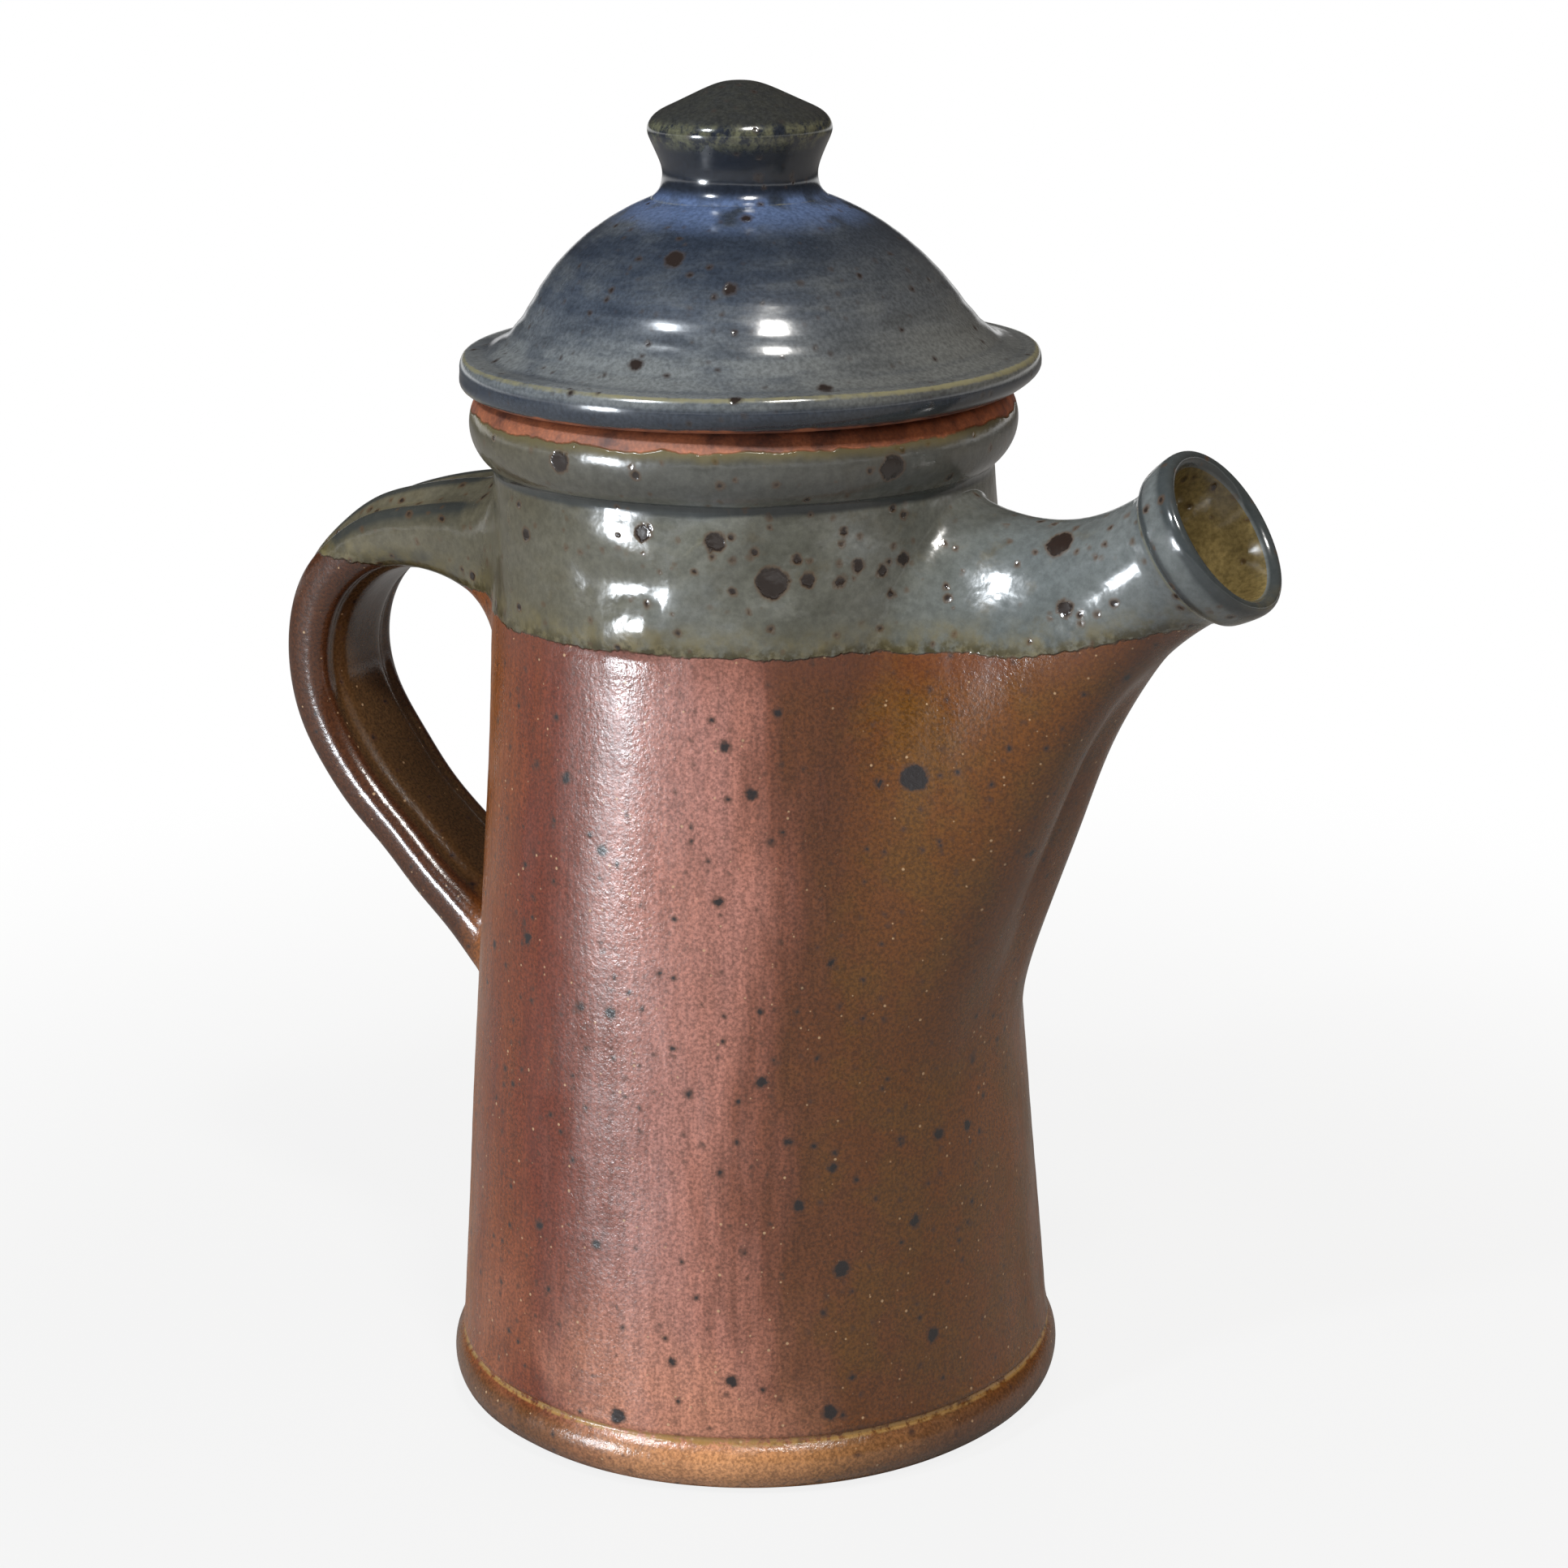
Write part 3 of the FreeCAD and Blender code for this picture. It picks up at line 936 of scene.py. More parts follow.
@dataclass(frozen=True)
class FiredBrown:
    """Satin brown skin of the lower pot, flashed by the flame.

    Attributes:
        flashes: Azimuths and the colours that the flame left there.
        foot: Orange of the lowest front wall: the flame's colour with painted light bounced up from the floor.
        bead: Azimuths and the colours of the foot bead there.
        strap: Dark brown of the handle.
        inner: Olive brown of the face that the fingers touch.
        olive: Olive clouds where ash settled.
        crease: Ochre that lies in the crease of the foot.
        fly_ash_and_glints: Golden grains of ash, partly painted glints of light.
        flush: Red-brown just under the dip line.
        roughness: Roughness of the satin.

    The spans and sides are where a tint comes in: heights for foot, flush, bead and crease, azimuths for the sides,
    Y for grip and X for strap.
    """

    flashes: tuple[tuple[float, Colour], ...] = (
        (-180.0, (0.150, 0.058, 0.016)), (-120.0, (0.190, 0.066, 0.020)), (-54.0, (0.255, 0.076, 0.012)),
        (-36.0, (0.180, 0.044, 0.010)), (-18.0, (0.120, 0.024, 0.011)), (-2.0, (0.165, 0.056, 0.040)),
        (12.0, (0.320, 0.144, 0.116)), (25.0, (0.320, 0.130, 0.094)), (34.0, (0.165, 0.056, 0.032)),
        (42.0, (0.105, 0.034, 0.012)), (70.0, (0.120, 0.038, 0.004)), (98.0, (0.150, 0.046, 0.004)),
        (140.0, (0.190, 0.066, 0.020)), (180.0, (0.150, 0.058, 0.016)),
    )
    foot: Colour = (0.430, 0.180, 0.105)
    bead: tuple[tuple[float, Colour], ...] = (
        (-180.0, (0.120, 0.052, 0.020)), (-30.0, (0.095, 0.040, 0.014)), (0.0, (0.230, 0.095, 0.040)),
        (22.0, (0.520, 0.245, 0.105)), (42.0, (0.330, 0.150, 0.055)), (70.0, (0.105, 0.045, 0.020)),
        (180.0, (0.120, 0.052, 0.020)),
    )
    strap: Colour = (0.040, 0.014, 0.007)
    inner: Colour = (0.060, 0.034, 0.014)
    olive: Colour = (0.112, 0.046, 0.006)
    crease: Colour = (0.330, 0.190, 0.060)
    fly_ash_and_glints: Colour = (0.520, 0.340, 0.190)
    flush: Colour = (0.130, 0.042, 0.026)
    roughness: float = 0.27
    foot_and_bounce_span: Span = (46.0, 8.0)
    foot_sides: tuple[Span, Span] = ((50.0, 32.0), (-45.0, -12.0))
    ash_sides: tuple[Span, Span] = ((38.0, 54.0), (170.0, 140.0))
    flush_span: Span = (-9.0, -0.5)
    bead_span: Span = (10.5, 8.0)
    grip_span: Span = (10.0, 8.6)
    strap_span: Span = (-50.0, -58.0)
    crease_span: Span = (17.0, 13.0)

    def colour(self, mix: Recipe, above: Socket) -> Socket:
        """Colour of the skin.

        Args:
            mix: Recipe to add to.
            above: Height above the dip line.

        Returns:
            The colour, without specks.
        """
        x, y, z = mix.split(mix.place)
        turn = mix.sum("ARCTAN2", x, mix.times(y, -1.0))
        degrees = mix.times(turn, math.degrees(1.0))
        drift = mix.sway(44.0, 26.0, 3.0, 0.6, (1.0, 1.0, 2.6))
        lick = mix.sway(16.0, 5.0, 2.0, 0.6, (1.0, 1.0, 9.0))
        share = mix.sum("MULTIPLY_ADD", mix.add(degrees, drift, lick), 1.0 / 360.0, 0.5)
        base = mix.ramp(share, self.stops(self.flashes))
        # Lowest front wall made lighter and more orange towards the bottom: partly the flame's colour, partly painted
        # bounce light from the floor.
        low = mix.times(mix.rise(z, *self.foot_and_bounce_span, high=0.8), mix.rise(mix.cloud(24.0, 2.0), 0.35, 0.62))
        low = mix.times(low, mix.times(*(mix.rise(degrees, *side) for side in self.foot_sides)))
        base = mix.blend(low, base, self.foot)
        begun, ended = self.ash_sides
        ashy = mix.times(mix.rise(mix.add(degrees, drift), *begun), mix.rise(degrees, *ended))
        settled = mix.rise(mix.cloud(13.0, 4.0, 0.65), 0.42, 0.62, high=0.7)
        base = mix.blend(mix.times(ashy, settled), base, self.olive)
        streak = mix.rise(mix.cloud(1.2, 3.0, 0.65, (1.0, 1.0, 18.0)), 0.3, 0.7, 0.85, 1.15)
        brushed = mix.between(mix.rise(ashy, 0.0, 0.8, 0.0, 0.85), streak, 1.0)
        peel = mix.rise(mix.cloud(0.55, 2.0, 0.6), 0.3, 0.7, 0.66, 1.34)
        base = mix.shaded(base, mix.times(brushed, peel))
        base = mix.blend(mix.rise(above, *self.flush_span, high=0.4), base, self.flush)
        beaded = mix.shaded(mix.ramp(share, self.stops(self.bead)), peel)
        base = mix.blend(mix.rise(z, *self.bead_span, high=0.9), base, beaded)
        gripped = mix.rise(mix.sum("ABSOLUTE", y), *self.grip_span)
        strap = mix.shaded(mix.blend(gripped, self.strap, self.inner), peel)
        base = mix.blend(mix.rise(x, *self.strap_span, high=0.9), base, strap)
        sunk = mix.times(mix.rise(mix.measure("crest"), -0.08, -0.45, high=0.9), mix.rise(z, *self.crease_span))
        base = mix.blend(mix.times(sunk, mix.rise(mix.cloud(2.0, 3.0, 0.7), 0.36, 0.55)), base, self.crease)
        # Golden grains of ash in the colour, which also serve as painted glints of light on the satin skin.
        grains = mix.specks(1.3, 0.80, 1.4, mix.place)
        return mix.blend(mix.rise(grains, 0.08, -0.08, high=0.7), base, self.fly_ash_and_glints)

    @staticmethod
    def stops(colours: tuple[tuple[float, Colour], ...]) -> list[tuple[float, Colour]]:
        """Stops of a ramp round the pot, from azimuths and their colours."""
        return [(azimuth / 360.0 + 0.5, colour) for azimuth, colour in colours]

    def relief(self, mix: Recipe) -> Socket:
        """Orange-peel pits and faint brush lines.

        Args:
            mix: Recipe to add to.

        Returns:
            Their height in millimetres.
        """
        depth = mix.rise(mix.split(mix.place)[0], *self.strap_span, 0.10, 0.05)
        peel = mix.times(mix.cloud(0.9, 3.0, 0.65), depth)
        brushed = mix.times(mix.cloud(0.9, 2.0, 0.5, (1.0, 1.0, 14.0)), 0.02)
        return mix.add(peel, brushed, mix.times(mix.cloud(4.0, 2.0), 0.06))


@dataclass(frozen=True)
class TwoToneStoneware:
    """Brown stoneware dipped upside down in ash glaze, with a wiped rim.

    Attributes:
        dip_height: Height of the dip line on the axis.
        dip_tilt: Rise of the dip line per millimetre along X and Y.
        dip_lip_rise: Rise of the dip line from the spout's root to its lip.
        wiped_height: Height above which the rim is wiped bare.
        neck_reach: Reach from the axis within which the rim is wiped.
        step: Thickness of the glaze at its edge.
        lip_span: X over which the dip line rises along the spout.
        handle_span: X over which the dip line rises along the handle.
        handle_rise: Rise of the dip line along the handle.
        sole_span: Heights over which the sole is bare.
    """

    dip_height: float = 148.2
    dip_tilt: Span = (0.008, -0.022)
    dip_lip_rise: float = 5.5
    wiped_height: float = 184.4
    neck_reach: float = 53.0
    step: float = 0.22
    lip_span: Span = (58.0, 92.0)
    handle_span: Span = (-60.0, -90.0)
    handle_rise: float = 1.5
    sole_span: Span = (1.6, 0.4)
    glaze: AshGlaze = AshGlaze()
    brown: FiredBrown = FiredBrown()
    clay: BareClay = BareClay()
    glaze_specks: Specks = Specks(fine_growth=1.5)
    clay_specks: Specks = Specks(core=(0.014, 0.012, 0.013), halo=(0.055, 0.026, 0.017), fine_growth=1.0,
                                 coarse_growth=2.2, scarce=0.66)

    def make(self) -> Material:
        """Mixes the finish.

        Returns:
            The material.
        """
        mix = Recipe("two_tone_stoneware")
        x, y, z = mix.split(mix.place)
        lapping = mix.add(mix.sway(3.4, 16.0), mix.sway(1.5, 2.2, 2.0, 0.6))
        line = mix.add(mix.times(x, self.dip_tilt[0]), mix.times(y, self.dip_tilt[1]), lapping,
                       mix.rise(x, *self.lip_span, high=self.dip_lip_rise),
                       mix.rise(x, *self.handle_span, high=self.handle_rise))
        above = mix.add(mix.sum("SUBTRACT", z, self.dip_height), mix.times(line, -1.0))
        glazed = mix.rise(above, -0.15, 0.3)
        wiping = mix.sway(2.4, 7.0, 3.0, 0.6, about=self.wiped_height)
        near = mix.rise(mix.vector("LENGTH", mix.vector("MULTIPLY", mix.place, (1.0, 1.0, 0.0))),
                        self.neck_reach + 1.0, self.neck_reach)
        wiped = mix.times(mix.rise(mix.sum("SUBTRACT", z, wiping), -0.15, 0.35), near)
        sole = mix.rise(z, *self.sole_span)
        bare = mix.sum("MAXIMUM", wiped, sole)

        glaze_edge = self.glaze_specks.edge(mix)
        clay_edge = self.clay_specks.edge(mix)
        upper = self.glaze_specks.on(mix, self.glaze.colour(mix, above), glaze_edge)
        upper = mix.blend(mix.times(mix.rise(mix.sum("SUBTRACT", z, wiping), -2.2, 0.0, high=0.7), near),
                          upper, self.glaze.hem)
        lower = self.clay_specks.on(mix, self.brown.colour(mix, above), clay_edge)
        colour = mix.blend(bare, mix.blend(glazed, lower, upper), self.clay.colour(mix))

        satin = mix.rise(mix.cloud(7.0, 3.0, 0.6, (1.0, 1.0, 3.0)), 0.3, 0.7, self.brown.roughness - 0.07,
                         self.brown.roughness + 0.09)
        satin = mix.between(mix.rise(x, *self.brown.strap_span), satin, self.brown.roughness - 0.06)
        gloss = mix.rise(mix.cloud(4.0, 2.0), 0.3, 0.7, self.glaze.roughness - 0.03, self.glaze.roughness + 0.05)
        roughness = mix.between(bare, mix.between(glazed, satin, gloss), self.clay.roughness)
        pits = mix.rise(glaze_edge, 0.3, -0.5, high=-0.10)
        upper_relief = mix.add(self.glaze.relief(mix), pits, self.step)
        relief = mix.between(glazed, self.brown.relief(mix), upper_relief)
        return mix.fire(colour, roughness, mix.between(bare, relief, self.clay.relief(mix)))


@dataclass(frozen=True)
class BlueAshGlaze:
    """Ash glaze on the lid, thick and navy on the dome, thin and grey on the flange.

    Attributes:
        navy: Thick glaze.
        slate: Usual glaze.
        grey: Thin glaze on the flange.
        throat: Bright blue round the foot of the knob.
        dark: Deep glaze in the waist of the knob.
        band: Olive glaze that thinned on the knob's band.
        olive: Grey-olive glaze towards the spout.
        crown: Dark top of the knob.
        thin: Olive break over edges.
        pooled: Glaze gathered in hollows, and painted shade on the underside of the flange's edge.
        wiped_height: Height below which the seat is wiped bare.
        roughness: Roughness of the gloss.
        clay: The bare clay of the seat.
        iron: Specks in the glaze.

    The spans are the heights over which a tint comes in, and X for the olive one.
    """

    navy: Colour = (0.016, 0.022, 0.034)
    slate: Colour = (0.056, 0.067, 0.086)
    grey: Colour = (0.140, 0.148, 0.148)
    throat: Colour = (0.080, 0.118, 0.220)
    dark: Colour = (0.012, 0.015, 0.022)
    crown: Colour = (0.026, 0.027, 0.026)
    band: Colour = (0.120, 0.118, 0.070)
    thin: Colour = (0.210, 0.190, 0.100)
    pooled: Colour = (0.014, 0.020, 0.034)
    olive: Colour = (0.080, 0.079, 0.070)
    wiped_height: float = 188.4
    roughness: float = 0.15
    thick_span: Span = (201.0, 213.0)
    flange_span: Span = (206.0, 197.0)
    olive_span: Span = (16.0, 46.0)
    throat_span: Span = (215.5, 219.5)
    throat_end: Span = (223.0, 221.0)
    waist_span: Span = (220.5, 223.0)
    band_span: Span = (228.5, 231.0)
    crown_span: Span = (233.0, 234.2)
    underside_shade_span: Span = (192.6, 191.4)
    clay: BareClay = BareClay()
    iron: Specks = Specks(halo=(0.040, 0.030, 0.026), fine_growth=1.1, coarse_growth=2.3, scarce=0.7)

    def make(self) -> Material:
        """Mixes the finish.

        Returns:
            The material.
        """
        mix = Recipe("ash_glaze")
        x, _, z = mix.split(mix.place)
        streak = mix.cloud(2.6, 4.0, 0.65, (7.0, 7.0, 1.0))
        cloud = mix.cloud(17.0, 4.0, 0.6, (1.4, 1.4, 0.8))
        tone = mix.add(mix.times(streak, 0.35), mix.times(cloud, 0.65))
        base = mix.ramp(tone, [(0.34, self.navy), (0.5, self.slate), (0.70, self.grey)])
        thick = mix.times(mix.rise(z, *self.thick_span), mix.rise(tone, 0.64, 0.40, 0.6, 0.9))
        base = mix.blend(thick, base, self.navy)
        thinned = mix.times(mix.rise(z, *self.flange_span), mix.rise(tone, 0.40, 0.52, 0.35, 0.8))
        base = mix.blend(thinned, base, self.grey)
        base = mix.blend(mix.rise(x, *self.olive_span, high=0.6), base, self.olive)
        ring = mix.times(mix.rise(z, *self.throat_span), mix.rise(z, *self.throat_end, high=0.85))
        base = mix.blend(mix.times(ring, mix.rise(mix.cloud(7.0, 2.0), 0.28, 0.5)), base, self.throat)
        base = mix.blend(mix.rise(z, *self.waist_span, high=0.9), base, self.dark)
        patchy = mix.rise(mix.cloud(1.8, 3.0, 0.7), 0.36, 0.66, high=0.75)
        base = mix.blend(mix.times(mix.rise(z, *self.band_span), patchy), base, self.band)
        base = mix.blend(mix.rise(z, *self.crown_span, high=0.92), base, self.crown)
        # Painted shade: the dark pooled colour laid on the lower half of the flange's edge, which faces down.
        base = mix.blend(mix.rise(z, *self.underside_shade_span, high=0.8), base, self.pooled)
        grain = mix.rise(mix.cloud(0.7, 3.0, 0.6), 0.25, 0.75, 0.74, 1.26)
        base = mix.shaded(base, grain)
        crest = mix.measure("crest")
        broken = mix.add(crest, mix.sway(0.5, 2.0, 3.0, 0.7))
        base = mix.blend(mix.rise(broken, 0.42, 0.75, high=0.75), base, self.thin)
        base = mix.blend(mix.rise(crest, -0.08, -0.35, high=0.75), base, self.pooled)
        edge = self.iron.edge(mix)
        base = self.iron.on(mix, base, edge)
        wiping = mix.sway(1.2, 6.0, 3.0, 0.6, about=self.wiped_height)
        bare = mix.rise(mix.sum("SUBTRACT", z, wiping), 0.2, -0.2)
        colour = mix.blend(bare, base, self.clay.colour(mix))
        gloss = mix.rise(streak, 0.3, 0.7, self.roughness - 0.02, self.roughness + 0.06)
        pits = mix.rise(edge, 0.3, -0.5, high=-0.08)
        glassy = mix.add(mix.times(mix.cloud(6.0, 2.0, 0.5, (2.0, 2.0, 1.0)), 0.10),
                         mix.times(mix.cloud(1.1, 1.0), 0.008), pits)
        relief = mix.between(bare, glassy, self.clay.relief(mix))
        return mix.fire(colour, mix.between(bare, gloss, self.clay.roughness), relief)


@dataclass(frozen=True)
class LinerGlaze:
    """Khaki glaze poured round the inside.

    Attributes:
        khaki: Its usual colour.
        olive: Its darker clouds.
        roughness: Roughness of the gloss.
        iron: Specks in it.
    """

    khaki: Colour = (0.240, 0.178, 0.070)
    olive: Colour = (0.120, 0.088, 0.034)
    roughness: float = 0.14
    iron: Specks = Specks(core=(0.022, 0.010, 0.006), halo=(0.060, 0.030, 0.012), fine_growth=1.9,
                          coarse_growth=3.4, scarce=0.5)

    def make(self) -> Material:
        """Mixes the finish.

        Returns:
            The material.
        """
        mix = Recipe("khaki_liner")
        base = mix.ramp(mix.cloud(8.0, 4.0, 0.6), [(0.34, self.olive), (0.64, self.khaki)])
        grain = mix.rise(mix.cloud(0.8, 3.0, 0.6), 0.25, 0.75, 0.7, 1.3)
        base = mix.shaded(base, grain)
        edge = self.iron.edge(mix)
        relief = mix.add(mix.times(mix.cloud(5.0, 2.0), 0.10), mix.rise(edge, 0.3, -0.5, high=-0.08))
        gloss = mix.rise(mix.cloud(4.0, 2.0), 0.3, 0.7, self.roughness - 0.03, self.roughness + 0.06)
        return mix.fire(self.iron.on(mix, base, edge), gloss, relief)


@dataclass(frozen=True)
class Finishes:
    """Materials of the pot, made once and shared by its pieces.

    Attributes:
        stoneware: Outside of the pot, the spout and the handle.
        ash: Outside of the lid and its knob.
        liner: Inside of all pieces.
    """

    stoneware: Material = field(default_factory=lambda: TwoToneStoneware().make())
    ash: Material = field(default_factory=lambda: BlueAshGlaze().make())
    liner: Material = field(default_factory=lambda: LinerGlaze().make())

    def dress(self, piece: Piece, slot: Slot, body: Body, node: str) -> Piece:
        """Gives a piece its finishes and its place in the frame.

        Args:
            piece: The piece.
            slot: Record slot that it takes its finish from.
            body: Body that it rides on.
            node: CAD node that it stands for.

        Returns:
            The piece.
        """
        piece.data.materials.append(self.stoneware if slot is Slot.STONEWARE else self.ash)
        piece.data.materials.append(self.liner)
        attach(piece, body.value)
        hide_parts(node)
        return piece


@dataclass
class PotBody:
    """Thrown pot: base, foot bead, tapered wall, rolled collar, rim and mouth.

    Attributes:
        wall: The wall that it is built on.
        rim_height: Height of the rim, from the frame.
        foot_tuck: How far the foot is set in under the wall.
        bead_swell: How far the foot bead stands out.
        groove_depth: Depth of the crease over the bead.
        ridge_rise: Rise of the thin ridge over the crease.
        collar_swell: How far the collar stands out from the rim.
        rim_radius: Outer radius of the rim.
        mouth_radius: Radius of the mouth.
        mouth_depth: Depth of the straight part of the mouth.
        wall_thickness: Thickness of the wall.
        base_thickness: Thickness of the base.
        inside_corner: Radius of the corner inside.
        port_radius: Radius of the port behind the spout.
        port_height: Height of the port's middle.
        port_tilt: Angle of the port above the horizontal, in degrees.
        port_sides: Sides of the port's outline.
        mouth_flare: Widening of the inside below the mouth, per millimetre.
        columns: Points round each ring.
        softness: Reach of the rounding of corners.
    """

    wall: Wall
    rim_height: float
    foot_tuck: float = 2.3
    bead_swell: float = 1.6
    groove_depth: float = 0.75
    ridge_rise: float = 0.4
    collar_swell: float = 1.6
    rim_radius: float = 46.6
    mouth_radius: float = 40.0
    mouth_depth: float = 24.0
    wall_thickness: float = 5.0
    base_thickness: float = 7.0
    inside_corner: float = 9.0
    port_radius: float = 12.0
    port_height: float = 126.0
    port_tilt: float = 20.0
    port_sides: int = 96
    mouth_flare: float = 0.15
    columns: int = 400
    softness: float = 0.5
    uneven: Wander = Wander(size=26.0, height=0.14, seed=21)

    def rows(self) -> tuple[Array, Array]:
        """Outline of the turned pot, from the sole to the floor inside.

        Returns:
            Radius and height of each row, and the zone of each row.
        """
        w, top = self.wall, self.rim_height
        foot = w.foot_radius - self.foot_tuck
        crease = w.crease_height
        heights = np.linspace(crease + 2.4, w.neck_height, 120)
        inner = np.linspace(top - self.mouth_depth, self.base_thickness + self.inside_corner, 60)
        inner_radius = np.minimum(w.radius(inner) - self.wall_thickness,
                                  self.mouth_radius + (inner[0] - inner) * self.mouth_flare)
        swing = np.linspace(0.0, math.pi / 2, 20)
        bend = np.stack([inner_radius[-1] - self.inside_corner * (1 - np.cos(swing)),
                         inner[-1] - self.inside_corner * np.sin(swing)], axis=-1)
        return outline([
            Run(path((0.0, 0.0), (foot - 1.0, 0.0)), 5.0),
            Run(path((foot - 1.0, 0.0), (foot + 0.4, 0.5)), 0.6),
            Run(arc((foot + 0.4, 0.5), (w.foot_radius + self.bead_swell, crease * 0.48),
                    (w.foot_radius, crease)), 0.75),
            Run(path((w.foot_radius, crease), (w.foot_radius - self.groove_depth, crease + 0.7),
                     (w.radius(crease + 1.8) + self.ridge_rise, crease + 1.8),
                     (w.radius(heights[0]), heights[0])), 0.6),
            Run(np.stack([w.radius(heights), heights], axis=-1), 1.0),
            Run(arc((w.neck_radius, w.neck_height), (self.rim_radius + self.collar_swell, top - 5.0),
                    (self.rim_radius, top - 0.9)), 0.75),
            Run(path((self.rim_radius, top - 0.9), (self.rim_radius - 1.0, top - 0.15),
                     (self.mouth_radius + 1.2, top - 0.15), (self.mouth_radius, top - 1.3)), 0.7),
            Run(path((self.mouth_radius, top - 1.3), (self.mouth_radius, inner[0])), 2.0, Zone.INSIDE),
            Run(np.stack([inner_radius, inner], axis=-1), 4.0, Zone.INSIDE),
            Run(bend, 2.0, Zone.INSIDE),
            Run(path(tuple(bend[-1]), (0.0, self.base_thickness)), 5.0, Zone.INSIDE),
        ], self.softness)

    def relief(self, rings: Array, radius: Array) -> Array:
        """Unevenness of the foot, the collar and the rim.

        Args:
            rings: Points of the plain pot, by ring.
            radius: Radius of each ring.

        Returns:
            Height over each point.
        """
        height = rings[..., 2]
        outside = smooth_rise(radius, self.mouth_radius + 1.0, self.mouth_radius + 3.0)[:, None]
        foot, collar = self.wall.ends(height)
        seated = smooth_rise(height, 0.3, 2.5) * smooth_rise(height, self.rim_height - 0.3, self.rim_height - 2.5)
        return self.uneven.at(rings) * outside * (foot + collar) * seated

    def build(self) -> Piece:
        """Makes the mesh and pierces the wall behind the spout.

        Returns:
            The pot's body.
        """
        rows, zones = self.rows()
        normals = outline_normals(rows)
        azimuth = np.linspace(-180.0, 180.0, self.columns, endpoint=False)
        radius, height = rows[1:-1, :1], rows[1:-1, 1:]
        plain = around(azimuth, radius, height)
        swell = self.relief(plain, rows[1:-1, 0])
        on_wall = (zones[1:-1] == Zone.OUTSIDE.value) & (rows[1:-1, 0] > self.mouth_radius + 3.0)
        swell = swell + np.where(on_wall[:, None], self.wall.marks(azimuth, height), 0.0)
        rings = around(azimuth, radius + swell * normals[1:-1, :1], height + swell * normals[1:-1, 1:])
        skin = Skin(rings, zones[1:-1], ends=(np.array([0, 0, rows[0, 1]]), np.array([0, 0, rows[-1, 1]])))
        return self.pierced(skin.piece("pot_body_thrown", 2, self.wall.spots()))

    def pierced(self, piece: Piece) -> Piece:
        """Cuts the port behind the spout through the wall.

        Args:
            piece: The pot's body.

        Returns:
            The same piece with its port.
        """
        reach = float(self.wall.radius(self.port_height)) - self.wall_thickness / 2
        tilt, radius = math.radians(self.port_tilt), self.port_radius * MM
        middle = np.array([reach, 0.0, self.port_height])
        way = np.array([math.cos(tilt), 0.0, math.sin(tilt)])
        drill = bmesh.new()
        bmesh.ops.create_cone(drill, cap_ends=True, segments=self.port_sides, radius1=radius, radius2=radius,
                              depth=2 * radius)
        turn = Vector(way).to_track_quat("Z", "Y").to_matrix().to_4x4()
        drill.transform(Matrix.Translation(Vector(middle) * MM) @ turn)
        bit = bpy.data.objects.new("port_bit", bpy.data.meshes.new("port_bit"))
        drill.to_mesh(bit.data)
        drill.free()
        bpy.context.scene.collection.objects.link(bit)
        cut = piece.modifiers.new("port", "BOOLEAN")
        cut.object, cut.operation, cut.solver = bit, "DIFFERENCE", "EXACT"
        whole = piece.data
        piece.data = bpy.data.meshes.new_from_object(piece.evaluated_get(bpy.context.evaluated_depsgraph_get()))
        piece.modifiers.clear()
        bpy.data.objects.remove(bit)
        bpy.data.meshes.remove(whole)
        self.line_port(piece.data, middle, way)
        return piece

    def line_port(self, mesh: bpy.types.Mesh, middle: Array, way: Array) -> None:
        """Glazes the port's wall like the inside and keeps specks off its edge.

        Args:
            mesh: Mesh of the pierced body.
            middle: Middle of the port.
            way: Direction out through the port.
        """
        points = np.empty(len(mesh.vertices) * 3)
        mesh.vertices.foreach_get("co", points)
        offset = points.reshape(-1, 3) / MM - middle
        along = offset @ way
        gap = np.linalg.norm(offset - along[:, None] * way, axis=1)
        near = (np.abs(along) < self.port_radius) & (gap < self.port_radius + 0.02)
        for name, value in (("spot_gap", 50.0), ("crest", 0.0)):
            held = np.empty(len(mesh.vertices))
            mesh.attributes[name].data.foreach_get("value", held)
            held[near] = value
            mesh.attributes[name].data.foreach_set("value", held)
        for face in mesh.polygons:
            if all(near[corner] for corner in face.vertices):
                face.material_index = Zone.INSIDE.value
            face.use_smooth = True

    def dressed(self, finishes: Finishes) -> Piece:
        """Builds the piece and gives it its finish."""
        return finishes.dress(self.build(), Slot.STONEWARE, Body.POT, "pot_body")


